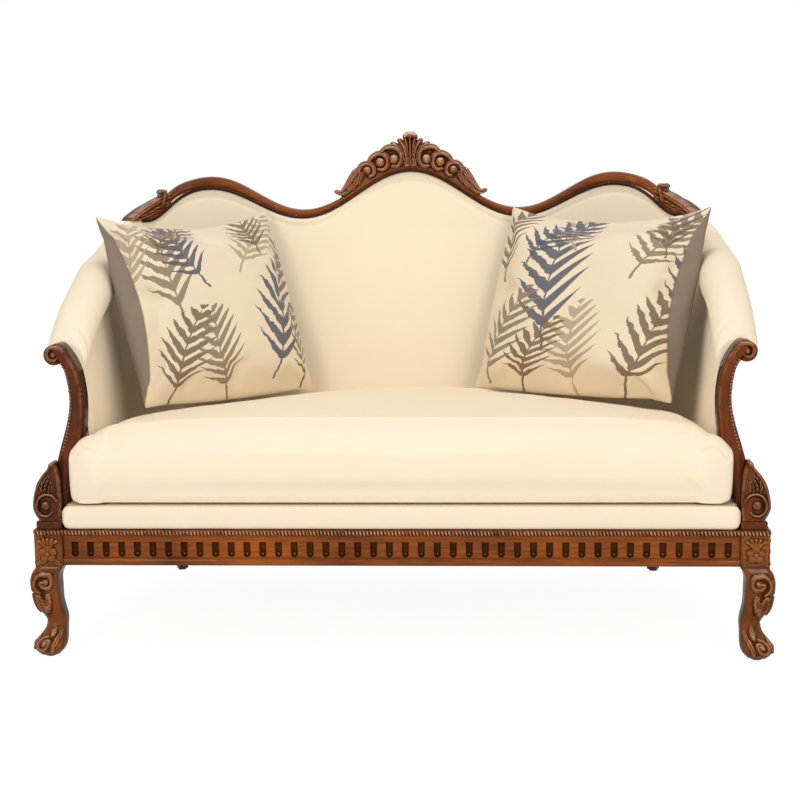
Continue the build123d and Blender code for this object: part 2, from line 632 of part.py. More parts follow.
def arm_stump():
    """Right-hand scrolled arm front: an S-shaped outline with a volute at the top, standing on a plinth."""
    foot = RAIL_TOP + PLINTH_HEIGHT
    eye = (SCROLL_X, ARM_HEIGHT - SCROLL_R)
    inner = Spline(
        [
            (BLOCK_IN, foot),
            ((STUMP_WAIST_IN + BLOCK_IN) / 2 - 7, (foot + STUMP_WAIST_Z) / 2),
            (STUMP_WAIST_IN, STUMP_WAIST_Z),
            (STUMP_WAIST_IN + 28, ARM_HEIGHT - 27),
            (eye[0] - 6, ARM_HEIGHT),
        ],
        tangents=((-0.35, 1), (1, 0.16)),
    )
    outer = Spline(
        [
            (eye[0], ARM_HEIGHT - 2 * SCROLL_R),
            (STUMP_WAIST_OUT, STUMP_WAIST_Z),
            ((STUMP_WAIST_OUT + FRAME_HALF) / 2 - 14, (foot + STUMP_WAIST_Z) / 2 + 12),
            (FRAME_HALF - 16, foot),
        ],
        tangents=((-1, -0.35), (0.5, -1)),
    )
    side = [inner, Line(inner @ 1, outer @ 0), outer, Line(outer @ 1, inner @ 0)]
    profile = make_face(side) + Pos(*eye) * Circle(SCROLL_R)
    stump = extrude(front_plane(STUMP_FRONT_Y) * profile, -STUMP_THICK)
    ring = Circle(SCROLL_R - SCROLL_GROOVE) - Circle(SCROLL_R - 2 * SCROLL_GROOVE)
    groove = extrude(front_plane(STUMP_FRONT_Y) * Pos(*eye) * ring, -SCROLL_GROOVE)
    eye_spot = Pos(eye[0], STUMP_FRONT_Y, eye[1])
    plinth = block((BLOCK_IN, FRONT_Y + 3, RAIL_TOP), (FRAME_HALF - 6, STUMP_Y, foot))
    return stump - groove + eye_spot * Sphere(SCROLL_R - 2.5 * SCROLL_GROOVE) + plinth


def arm_console():
    """Right-hand carved console in front of the stump's foot: outline, volute and leaf ribs."""
    foot = RAIL_TOP + PLINTH_HEIGHT
    inner_x = BLOCK_IN + 1
    tip = (BLOCK_IN + 14, foot + CONSOLE_HEIGHT)
    outline = [
        Line((inner_x, foot), (FRAME_HALF - 14, foot)),
        ThreePointArc((FRAME_HALF - 14, foot), (FRAME_HALF, foot + 36), (FRAME_HALF - 14, foot + 84)),
        ThreePointArc((FRAME_HALF - 14, foot + 84), (FRAME_HALF - 30, foot + 108), tip),
        Line(tip, (inner_x, foot + CONSOLE_HEIGHT)),
        Line((inner_x, foot + CONSOLE_HEIGHT), (inner_x, foot)),
    ]
    front = STUMP_FRONT_Y - CONSOLE_THICK
    console = extrude(front_plane(front) * make_face(outline), -CONSOLE_THICK)
    eye = (BLOCK_IN + 28, foot + 34)
    spot = Plane(origin=(eye[0], front, eye[1]), z_dir=(0, -1, 0))
    console += spot * Torus(CONSOLE_EYE_R + 8, 4)
    console += spot * Sphere(CONSOLE_EYE_R)
    for out, lean, reach in ((-12, -14, 56), (2, -6, 52), (15, 2, 40)):
        rib = Cone(6, 2, reach, align=CENTRE_BOTTOM)
        console += Pos(eye[0] + out, front + 1, eye[1] + CONSOLE_EYE_R + 17) * Rot(0, lean, 0) * rib
    return console


def arm_beads():
    """Row of carved pearls along the outer margin of the right-hand stump."""
    margin = 2.2 * ARM_BEAD_R
    line = Spline(
        [
            (SCROLL_X - 18, ARM_HEIGHT - 2 * SCROLL_R - 12),
            (STUMP_WAIST_OUT, STUMP_WAIST_Z),
            (STUMP_WAIST_OUT + 12, STUMP_WAIST_Z - 83),
        ],
        tangents=((-0.4, -1), (0.3, -1)),
    )
    pearls = []
    for i in range(ARM_BEAD_COUNT):
        spot = line @ (0.06 + 0.88 * i / (ARM_BEAD_COUNT - 1))
        pearl = Pos(spot.X - margin, STUMP_FRONT_Y, spot.Y) * Sphere(ARM_BEAD_R)
        pearls.append(pearl - block((0, STUMP_FRONT_Y, 0), (FRAME_HALF, STUMP_Y, CREST_TOP)))
    return group(pearls)


def arm_roll():
    """Right-hand wooden roll inside the top of the arm, from the stump back to the corner."""
    sections = []
    for cut in ARM_CUTS:
        low, top, tip = pad_underside(cut._replace(top_thick=cut.top_thick + 2 * GAP))
        face = make_face([ThreePointArc(low, top, tip), Line(tip, low)])
        sections.append(wall_plane(1, cut.run) * face)
    beyond = Pos(SEAT_HALF, CORNER_Y, 0) * Box(WALL_RUN, WALL_RUN, WALL_RUN, align=BACK_BOTTOM)
    return loft(sections) - beyond


def arm_upright():
    """Right-hand upright between the side rail and the rear end of the wooden roll, scribed to its underside."""
    cut = CORNER_START_CUT
    low, _, _ = pad_underside(cut)
    head = low[1] - 3 * GAP
    corner = (Align.MIN, Align.MIN)
    foot = Pos(SEAT_HALF + cut.foot_thick + 14, CORNER_Y - UPRIGHT_WIDTH, RAIL_TOP)
    top = Pos(SEAT_HALF + low[0] + 2, CORNER_Y - UPRIGHT_WIDTH, head)
    sections = [foot * Rectangle(28, UPRIGHT_WIDTH, align=corner), top * Rectangle(8, UPRIGHT_WIDTH, align=corner)]
    return loft(sections) - Pos(0, 0, -GAP) * arm_roll()


# Back and arm upholstery


def circle_through(first, second, third):
    """Centre and radius of the circle through three (outwards, up) points."""
    (ax, ay), (bx, by), (cx, cy) = first, second, third
    twice = 2 * (ax * (by - cy) + bx * (cy - ay) + cx * (ay - by))
    a, b, c = ax**2 + ay**2, bx**2 + by**2, cx**2 + cy**2
    out = (a * (by - cy) + b * (cy - ay) + c * (ay - by)) / twice
    up = (a * (cx - bx) + b * (ax - cx) + c * (bx - ax)) / twice
    return (out, up), hypot(ax - out, ay - up)


def pad_underside(cut):
    """Three points on the hidden face of the pad, where it bends over the arm's roll."""
    thick = cut.top_thick
    if cut.crown_in is None:
        points = (cut.shoulder, cut.crown, cut.tip)
        (out, up), radius = circle_through(*points)
        share = thick / radius
        return [shifted(p, share * (out - p[0]), share * (up - p[1])) for p in points]
    low = shifted(cut.shoulder, thick, -0.3 * thick)
    top = shifted(cut.crown, *[thick * part for part in cut.crown_in])
    tip = shifted(cut.tip, *[thick * part for part in cut.tip_in])
    return low, top, tip


def pad_face(side, cut):
    """Closed section of the pad: the sitter's face, the tip, the hidden face and the foot."""
    foot = (0.0, PAD_FOOT_Z)
    low, top, tip = pad_underside(cut)
    belly = shifted(cut.belly, (cut.foot_thick + cut.top_thick) / 2, 0)
    heel = (cut.foot_thick, PAD_FOOT_Z)
    edges = [
        ThreePointArc(foot, cut.belly, cut.shoulder),
        ThreePointArc(cut.shoulder, cut.crown, cut.tip),
        Line(cut.tip, tip),
        ThreePointArc(tip, top, low),
        ThreePointArc(low, belly, heel),
        Line(heel, foot),
    ]
    return wall_plane(side, cut.run) * make_face(edges)


def inside_arm():
    """Right-hand padded arm with its rolled top, from the stump round to the corner."""
    return loft([pad_face(1, cut) for cut in ARM_CUTS]) - rail_space()


def inside_back():
    """Padded back between the two corners, cut to the underside of the top rail."""
    left = [pad_face(-1, cut) for cut in BACK_CUTS]
    right = [pad_face(1, cut) for cut in BACK_CUTS[-2::-1]]
    return loft(left + right) - rail_space()


def cover_face(side, cut):
    """Section of the thin outer cover."""
    foot = (COVER_FOOT, RAIL_TOP)
    inner = [shifted(p, -COVER_THICK, 0) for p in (foot, cut.waist, cut.head)]
    edges = [
        ThreePointArc(foot, cut.waist, cut.head),
        Line(cut.head, inner[2]),
        ThreePointArc(inner[2], inner[1], inner[0]),
        Line(inner[0], foot),
    ]
    return wall_plane(side, cut.run) * make_face(edges)


def outside_arm():
    """Right-hand outer arm cover."""
    return loft([cover_face(1, cut) for cut in COVER_CUTS]) - rail_space()


def outside_back():
    """Outer back cover, cut to the underside of the top rail."""
    left = [cover_face(-1, cut) for cut in BACK_COVER_CUTS]
    right = [cover_face(1, cut) for cut in BACK_COVER_CUTS[-2::-1]]
    return loft(left + right) - rail_space()


# Back frame


def upright_front(z):
    """Distance outwards from the plan line to the front of the back's uprights."""
    return UPRIGHT_FOOT + UPRIGHT_LEAN * (z - RAIL_TOP)


def upright(side, run, width, head):
    """Tapered upright inside the back, from the seat rail to the given height."""
    plane = wall_plane(side, run)
    sections = []
    for z in (RAIL_TOP, head):
        low = upright_front(z)
        high = UPRIGHT_FOOT + UPRIGHT_FOOT_THICK + UPRIGHT_BACK_LEAN * (z - RAIL_TOP)
        level = Plane(origin=plane.from_local_coords((0, z, 0)), x_dir=plane.x_dir, z_dir=(0, 0, 1))
        sections.append(level * Pos((low + high) / 2, 0) * Rectangle(high - low, width))
    return loft(sections)


def back_post():
    """Right-hand corner post of the back, up to the underside of the top rail."""
    run = BACK_HALF + CORNER_RUN * 0.3
    head = wall_plane(1, run).from_local_coords((upright_front(BACK_CORNER_Z), 0, 0)).X
    return upright(1, run, POST_WIDTH, rail_underside(head + POST_WIDTH) - GAP)


def back_slats():
    """Three slats that carry the middle of the top rail."""
    spots = ((-1, SLAT_X), (1, 0.0), (1, SLAT_X))
    slats = []
    for side, run in spots:
        head = min(rail_underside(run + step * SLAT_WIDTH / 2) for step in (-1, 0, 1))
        slats.append(upright(side, run, SLAT_WIDTH, head - GAP))
    return group(slats)


def back_webbing():
    """Straps across the front of the slats, under the back pad."""
    straps = []
    reach = SLAT_X + SLAT_WIDTH / 2
    tilt = Rot(-degrees(atan(UPRIGHT_LEAN)), 0, 0)
    strap = Box(2 * reach, WEB_THICK, WEB_WIDTH, align=(Align.CENTER, Align.MAX, Align.CENTER))
    for i in range(BACK_STRAPS):
        z = DECK_TOP + (VALLEY_Z - DECK_TOP) * (i + 0.9) / (BACK_STRAPS + 0.8)
        straps.append(Pos(0, SEAT_BACK_Y + upright_front(z) - GAP, z) * tilt * strap)
    return group(straps)


# Top rail, leaves and crest


def rail_face(x, thickness):
    """Moulded section of the top rail: flat back, rounded top and a swelling front over a small step."""
    front, back = -RAIL_DEPTH / 2, RAIL_DEPTH / 2
    step = 0.16 * thickness
    edges = [
        Line((back, 0), (front + 4, 0)),
        Line((front + 4, 0), (front + 4, step)),
        Line((front + 4, step), (front + 2, step)),
        ThreePointArc((front + 2, step), (front, 0.45 * thickness), (front + 9, 0.9 * thickness)),
        ThreePointArc((front + 9, 0.9 * thickness), (0, thickness), (back, 0.86 * thickness)),
        Line((back, 0.86 * thickness), (back, 0)),
    ]
    return rail_plane(x, 0) * make_face(edges)


def top_rail():
    """Serpentine moulded rail between the two carved leaves."""
    count = 12
    xs = [LEAF_X * i / count for i in range(-count, count + 1)]
    return loft([rail_face(x, rail_thickness(x)) for x in xs])


def rail_leaf():
    """Right-hand carved leaf that ends the top rail: a swelling loft with a curled tip at its head."""
    spread = END_X - LEAF_X
    swell = ((0.0, 0.0), (0.2, 0.55), (0.38, 1.0), (0.55, 0.85), (0.73, 0.45), (0.87, -0.2), (1.0, -0.85))
    sections = []
    for share, fullness in swell:
        height = PEAK_THICK + (LEAF_SWELL - PEAK_THICK) * fullness
        sections.append(rail_face(LEAF_X + spread * share, height))
    curl_x = LEAF_X + 0.2 * spread
    curl_y = rail_plan(curl_x, RAIL_FRONT + RAIL_DEPTH / 2)[0]
    curl_z = rail_underside(curl_x) + (PEAK_THICK + LEAF_SWELL) / 2 - 6
    curl = Pos(curl_x, curl_y, curl_z) * Rot(0, 12, 0) * Cone(9, 3, LEAF_CURL, align=CENTRE_BOTTOM)
    return loft(sections) + curl


def crest_plan_y():
    """Front face of the crest's ground."""
    return SEAT_BACK_Y + RAIL_FRONT + CREST_SETBACK


def crest():
    """Carved crest: a ground cut to the scrolls' outline, with volutes, eyes and a fanned shell."""
    root, low = 0.5 * CREST_HALF, ARCH_Z - 60
    tail = make_face(
        [
            ThreePointArc((-root, ARCH_Z + 8), (-0.75 * CREST_HALF, ARCH_Z - 12), (-CREST_HALF, ARCH_Z - 54)),
            Line((-CREST_HALF, ARCH_Z - 54), (-CREST_HALF, VALLEY_Z)),
            Polyline([(-CREST_HALF, VALLEY_Z), (-root, low), (-root, ARCH_Z + 8)]),
        ]
    )
    ground = Rectangle(2 * root + 4, 80, align=(Align.CENTER, Align.MAX))
    outline = Pos(0, FAN_FOOT_Z + 8) * ground + tail + mirror(tail, about=Plane.YZ)
    for x, rise, radius in SCROLL_ROWS:
        outline += [Pos(side * x, ARCH_Z + rise) * Circle(radius) for side in (-1, 1)]
    fan_r = CREST_TOP - FAN_FOOT_Z - 12
    outline += Pos(0, FAN_FOOT_Z + 16) * Circle(fan_r - 16)
    outline += Pos(0, CREST_TOP - 13) * Circle(13)
    reach = 2 * CREST_HALF
    xs = [reach * (i / 20 - 0.5) for i in range(21)]
    seat = Spline([(x, rail_underside(x) + rail_thickness(x) + GAP) for x in xs])
    below = make_face([seat, Polyline([seat @ 1, (reach / 2, 0), (-reach / 2, 0), seat @ 0])])
    front = crest_plan_y()
    body = extrude(front_plane(front) * (outline - below), -CREST_THICK)
    relief = []
    for x, rise, radius in SCROLL_ROWS:
        z = ARCH_Z + rise
        for side in (-1, 1):
            spot = Plane(origin=(side * x, front, z), z_dir=(0, -1, 0))
            relief.append(spot * Torus(radius - 6, 5))
            relief.append(Pos(side * x * 0.94, front, z - 4) * Sphere(0.38 * radius))
    for i in range(FAN_RIBS):
        lean = FAN_SPREAD * (2 * i / (FAN_RIBS - 1) - 1)
        length = fan_r - 6 - 12 * abs(lean) / FAN_SPREAD
        rib = Cone(2.5, 6, length, align=CENTRE_BOTTOM)
        relief.append(Pos(0, front, FAN_FOOT_Z + 10) * Rot(0, lean, 0) * rib)
    relief.append(Pos(0, front, CREST_TOP - 13) * Sphere(11))
    behind = extrude(front_plane(front) * below, 40, both=True)
    return body + [solid - behind for solid in relief]


def rosette(plane):
    """Five-petalled flower carved on a corner block."""
    petals = Circle(8)
    for i in range(5):
        petals += Rot(0, 0, 72 * i + 90) * Pos(13, 0) * Circle(8.5)
    return extrude(plane * petals, 3) + plane * Sphere(5.5) - extrude(plane * Rectangle(60, 60), -20)


def rosettes():
    """Flowers on the front and the outer side of both corner blocks."""
    z = RAIL_Z + (RAIL_HEIGHT - BEAD_STRIP) / 2
    x, y = BLOCK_IN + BLOCK / 2, FRONT_Y + BLOCK / 2
    front = rosette(Plane(origin=(x, FRONT_Y, z), x_dir=(1, 0, 0), z_dir=(0, -1, 0)))
    side = rosette(Plane(origin=(FRAME_HALF, y, z), x_dir=(0, 1, 0), z_dir=(1, 0, 0)))
    return group([front, side, mirrored(front), mirrored(side)])


# Loose seat cushion


def cushion_depth(x, inset):
    """Y of the cushion's back edge: it follows the round corners of the seat."""
    gap = CUSHION_BACK_GAP + inset
    if abs(x) <= BACK_HALF:
        return SEAT_BACK_Y - gap
    radius = CORNER_R - CUSHION_SIDE_GAP
    share = min(1.0, (abs(x) - BACK_HALF) / radius)
    return CORNER_Y + (CORNER_R - gap) * sqrt(1 - share**2)


def cushion_face(x, inset):
    """Upright section across the cushion: bowed front, rounded edges and a crowned top."""
    half = SEAT_HALF - CUSHION_SIDE_GAP
    fall = (abs(x) / half) ** 3
    height = CUSHION_HEIGHT - (CUSHION_HEIGHT - CUSHION_END_HEIGHT) * fall
    low = CUSHION_LOW + inset
    high = CUSHION_LOW + height - inset
    front = FRONT_Y - CUSHION_FRONT + inset
    back = cushion_depth(x, inset)
    shoulder = high - 0.32 * height
    run = min(90.0, 0.3 * (back - front))
    edges = [
        Line((back - 8, low), (front + 8, low)),
        ThreePointArc((front + 8, low), (front, (low + shoulder) / 2), (front + 5, shoulder)),
        ThreePointArc((front + 5, shoulder), (front + 0.3 * run, high - 0.12 * height), (front + run, high - 10)),
        ThreePointArc((front + run, high - 10), ((front + back) / 2, high), (back - run, high - 10)),
        ThreePointArc((back - run, high - 10), (back - 0.3 * run, high - 0.12 * height), (back - 5, shoulder)),
        ThreePointArc((back - 5, shoulder), (back, (low + shoulder) / 2), (back - 8, low)),
    ]
    return Plane(origin=(x, 0, 0), x_dir=(0, 1, 0), z_dir=(1, 0, 0)) * make_face(edges)


def cushion_ear(inset):
    """Right-hand ear of the cushion, in front of the arm stump."""
    inner = SEAT_HALF - CUSHION_SIDE_GAP - 30.0
    front = FRONT_Y - CUSHION_FRONT + inset
    back = FRONT_Y + CUSHION_EAR - inset
    levels = (
        (inner, CUSHION_END_HEIGHT + 2, 0.0),
        (CUSHION_EAR_HALF - 16, CUSHION_END_HEIGHT - 8, 1.0),
        (CUSHION_EAR_HALF - inset, CUSHION_END_HEIGHT - 32, 6.0),
    )
    sections = []
    for x, height, draw in levels:
        low = CUSHION_LOW + inset + draw
        high = low + height - 2 * inset - 2 * draw
        f, b = front + draw + 4, back - draw
        edges = [
            Line((b, low), (f, low)),
            ThreePointArc((f, low), (f - 4, (low + high) / 2 - 10), (f + 2, high - 20)),
            ThreePointArc((f + 2, high - 20), (f + 6, high - 6), (f + 14, high)),
            Line((f + 14, high), (b, high)),
            Line((b, high), (b, low)),
        ]
        plane = Plane(origin=(x, 0, 0), x_dir=(0, 1, 0), z_dir=(1, 0, 0))
        sections.append(plane * make_face(edges))
    return loft(sections)


def cushion_solid(inset):
    """The whole cushion, drawn in by inset on every side."""
    half = SEAT_HALF - CUSHION_SIDE_GAP - inset
    corner = BACK_HALF + 0.62 * (half - BACK_HALF)
    rim = BACK_HALF + 0.9 * (half - BACK_HALF)
    xs = (-half, -rim, -corner, -BACK_HALF, 0.0, BACK_HALF, corner, rim, half)
    body = loft([cushion_face(x, inset) for x in xs])
    ear = cushion_ear(inset)
    return body + ear + mirrored(ear)


def seat_cushion():
    """Foam core, and its cover as an upper and a lower half that meet at the seam."""
    core = cushion_solid(COVER_CLOTH)
    skin = cushion_solid(0) - core
    reach = 2 * FRAME_HALF
    seam = CUSHION_LOW + CUSHION_SEAM
    lower = Pos(0, 0, seam) * Box(reach, reach, reach, align=(Align.CENTER, Align.CENTER, Align.MAX))
    return {
        "seat_cushion_core": core,
        "seat_cushion_cover_top": skin - lower,
        "seat_cushion_cover_bottom": skin & lower,
    }


# Scatter pillows


def pillow_half(inset):
    """Front half of a pillow: a loft from the seam outline, with drawn-in sides, up to the crown."""
    sections = []
    for share, shrink, draw in ((0.0, 1.0, 1.0), (0.45, 0.86, 0.35), (0.8, 0.62, -0.3), (1.0, 0.2, -0.3)):
        half = (PILLOW_HALF - 2 * inset) * shrink
        mid = half - PILLOW_DRAW * draw * shrink
        edges = []
        for turn in range(4):
            spin = Rot(0, 0, 90 * turn)
            edges.append(spin * ThreePointArc((half, -half), (mid, 0), (half, half)))
        sections.append(Pos(0, 0, (PILLOW_PUFF - inset) * share) * make_face(edges))
    return loft(sections)


def pillow(name, centre, turn):
    """Insert and the front and back halves of the cover, leaning back in the corner of the settee."""
    facing = Vector(sin(radians(turn)), -cos(radians(turn)), 0)
    lean = radians(PILLOW_LEAN)
    normal = facing * cos(lean) + Vector(0, 0, sin(lean))
    across = Vector(cos(radians(turn)), sin(radians(turn)), 0)
    plane = Plane(origin=centre, x_dir=across, z_dir=normal)
    half = pillow_half(COVER_CLOTH)
    insert = half + mirror(half, about=Plane.XY)
    front = pillow_half(0) - insert
    back = mirror(front, about=Plane.XY)
    return {
        f"{name}_insert": plane * insert,
        f"{name}_front": plane * front,
        f"{name}_back": plane * back,
    }


def settee():
    """Every node of the settee by name."""
    dowels_right = dowel_right()
    dowels = dowels_right + [mirrored(d) for d in dowels_right]
    bolt = rear_bolt_shank()
    leg = front_leg() - dowels_right
    nodes = {
        **pair("front_leg", leg),
        **pair("rear_leg", rear_leg() - bolt),
        "feet_glides": feet_glides(),
        "front_rail": front_rail() - dowels,
        **pair("side_rail", side_rail() - dowels_right),
        **pair("corner_rail", corner_rail()),
        "back_rail": back_rail(),
        "rail_dowels": group(dowels),
        "rear_leg_bolts": group([bolt, mirrored(bolt)]),
        "bead_strip_front": front_strip(),
        **pair("bead_strip", side_strip()),
        "corner_blocks": corner_blocks(),
        "seat_braces": seat_braces(),
        "seat_webbing_lengthwise": webbing_lengthwise(),
        "seat_webbing_crosswise": webbing_crosswise(),
        "seat_deck": seat_deck(),
        "dust_cover": dust_cover(),
        **pair("arm_stump", arm_stump()),
        **pair("arm_console", arm_console()),
        **pair("arm_beads", arm_beads()),
        **pair("arm_roll", arm_roll()),
        **pair("arm_upright", arm_upright()),
        **pair("inside_arm", inside_arm()),
        "inside_back": inside_back(),
        **pair("outside_arm", outside_arm()),
        "outside_back": outside_back(),
        **pair("back_post", back_post()),
        "back_slats": back_slats(),
        "back_webbing": back_webbing(),
        "top_rail": top_rail(),
        **pair("rail_leaf", rail_leaf()),
        "crest": crest(),
        "rosettes": rosettes(),
        **seat_cushion(),
        **pillow("pillow_left", LEFT_PILLOW_AT, LEFT_PILLOW_TURN),
        **pillow("pillow_right", RIGHT_PILLOW_AT, RIGHT_PILLOW_TURN),
    }
    return nodes


def main():
    """Write one STEP file for each node."""
    os.makedirs("parts", exist_ok=True)
    for name, part in settee().items():
        export_step(part, f"parts/{name}.step")


main()
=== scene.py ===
"""Looks of a carved and upholstered settee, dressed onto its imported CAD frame.

Metres throughout, in the frame of the CAD model: +Z up, the front faces -Y. Carved pieces are height
fields cut with motifs, upholstery is swept along the plan line of the seat, and the loose cushion and
the scatter pillows are blown up as cloth.
"""

import logging
import math
from dataclasses import dataclass
from enum import Enum
from typing import Callable, Sequence

import bpy
import numpy as np
from mathutils import Matrix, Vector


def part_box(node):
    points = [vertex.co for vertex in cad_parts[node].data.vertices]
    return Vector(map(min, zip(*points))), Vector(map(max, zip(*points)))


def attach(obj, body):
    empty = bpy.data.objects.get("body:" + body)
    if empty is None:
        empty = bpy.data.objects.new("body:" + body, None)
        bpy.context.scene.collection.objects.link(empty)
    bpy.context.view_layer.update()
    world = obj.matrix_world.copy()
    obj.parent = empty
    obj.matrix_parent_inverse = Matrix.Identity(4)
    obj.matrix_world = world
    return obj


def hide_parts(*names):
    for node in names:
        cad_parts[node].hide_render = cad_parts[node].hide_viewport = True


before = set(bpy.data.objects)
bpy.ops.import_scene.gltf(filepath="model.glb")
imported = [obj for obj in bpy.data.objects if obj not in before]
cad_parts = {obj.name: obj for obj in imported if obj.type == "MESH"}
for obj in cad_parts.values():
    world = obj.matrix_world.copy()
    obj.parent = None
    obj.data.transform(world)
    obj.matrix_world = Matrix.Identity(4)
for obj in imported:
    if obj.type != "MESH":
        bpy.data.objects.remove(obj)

LOG = logging.getLogger("settee")
Array = np.ndarray
Point2 = tuple[float, float]
Point3 = tuple[float, float, float]
Colour = tuple[float, float, float]


class Body(str, Enum):
    """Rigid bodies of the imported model."""

    FRAME = "frame"
    CUSHION = "seat_cushion"
    LEFT_PILLOW = "pillow_left"
    RIGHT_PILLOW = "pillow_right"


class Side(Enum):
    """Left or right of the settee, as the sign of X."""

    LEFT = -1
    RIGHT = 1

    @property
    def word(self) -> str:
        """Ending of the CAD nodes on this side."""
        return self.name.lower()


class Curve:
    """Natural cubic spline through knots, for any number of columns."""

    def __init__(self, knots: Sequence[float], values: Sequence) -> None:
        self.knots = np.asarray(knots, float)
        self.values = np.asarray(values, float).reshape(len(self.knots), -1)
        step = np.diff(self.knots)
        count = len(self.knots)
        system = np.eye(count)
        right = np.zeros_like(self.values)
        for i in range(1, count - 1):
            system[i, i - 1 : i + 2] = step[i - 1], 2 * (step[i - 1] + step[i]), step[i]
            slope = np.diff(self.values[i - 1 : i + 2], axis=0) / step[i - 1 : i + 1, None]
            right[i] = 6 * (slope[1] - slope[0])
        self.bends = np.linalg.solve(system, right)

    def __call__(self, at: Array) -> Array:
        """Values at the given places.

        Args:
            at: places along the knots, clipped to their range.

        Returns:
            Array of at.shape + (columns,).
        """
        at = np.clip(np.asarray(at, float), self.knots[0], self.knots[-1])
        low = np.clip(np.searchsorted(self.knots, at) - 1, 0, len(self.knots) - 2)
        gap = (self.knots[low + 1] - self.knots[low])[..., None]
        a = (self.knots[low + 1] - at)[..., None] / gap
        b = 1 - a
        line = a * self.values[low] + b * self.values[low + 1]
        bend = (a**3 - a) * self.bends[low] + (b**3 - b) * self.bends[low + 1]
        return line + bend * gap**2 / 6


def smoothstep(low: float, high: float, at: Array) -> Array:
    """Smooth 0 to 1 ramp, 3t^2 - 2t^3 between low and high."""
    t = np.clip((at - low) / (high - low), 0, 1)
    return t * t * (3 - 2 * t)


def through(points: Array, count: int) -> Array:
    """Catmull-Rom line through control points.

    Args:
        points: (..., controls, columns) array.
        count: samples to return.

    Returns:
        (..., count, columns) array, evenly spread over the control points.
    """
    last = points.shape[-2] - 1
    at = np.linspace(0, last, count)
    i = np.minimum(at.astype(int), last - 1)
    t = (at - i)[:, None]
    pick = [points[..., np.clip(i + k, 0, last), :] for k in (-1, 0, 1, 2)]
    a = 2 * pick[1]
    b = (pick[2] - pick[0]) * t
    c = (2 * pick[0] - 5 * pick[1] + 4 * pick[2] - pick[3]) * t**2
    d = (3 * pick[1] - pick[0] - 3 * pick[2] + pick[3]) * t**3
    return (a + b + c + d) / 2


def value_noise(points: Array, scale: float, seed: int) -> Array:
    """Smooth noise from a few fixed sine waves in seeded directions, about -1 to 1.

    Args:
        points: (..., 3) places.
        scale: wave count per metre.
        seed: picks the directions.

    Returns:
        Noise of the shape of points without its last axis.
    """
    rng = np.random.default_rng(seed)
    total = np.zeros(points.shape[:-1])
    for _ in range(7):
        way = rng.normal(size=3)
        way *= scale * rng.uniform(0.6, 1.6) * 2 * math.pi / np.linalg.norm(way)
        total += np.sin(points @ way + rng.uniform(0, 2 * math.pi))
    return total / 4


@dataclass(frozen=True)
class PlanLine:
    """U-shaped line where the arms and the back meet the seat."""

    half: float = 0.672
    back: float = 0.249
    radius: float = 0.190
    front: float = -0.293

    @property
    def straight(self) -> float:
        """Half length of the straight back."""
        return self.half - self.radius

    @property
    def corner_y(self) -> float:
        """Y of the corners' centres."""
        return self.back - self.radius

    @property
    def arm_start(self) -> float:
        """Run from the middle of the back to the start of the straight arm."""
        return self.straight + self.radius * math.pi / 2

    @property
    def length(self) -> float:
        """Run from the middle of the back to the front of the arm."""
        return self.arm_start + self.corner_y - self.front

    def place(self, run: Array, out: Array, up: Array) -> Array:
        """Points at a signed run along the line, a distance outwards from it and a height.

        Args:
            run: distance from the middle of the back, negative on the left.
            out: distance outwards, away from the sitter.
            up: height above the floor.

        Returns:
            (..., 3) array of points.
        """
        run, out, up = np.broadcast_arrays(run, out, up)
        side = np.where(run < 0, -1.0, 1.0)
        s = np.abs(run)
        turn = np.clip((s - self.straight) / self.radius, 0, math.pi / 2)
        x = np.minimum(s, self.straight) + (self.radius + out) * np.sin(turn)
        y = self.corner_y + (self.radius + out) * np.cos(turn) - np.maximum(0, s - self.arm_start)
        return np.stack([side * x, y, up], axis=-1)


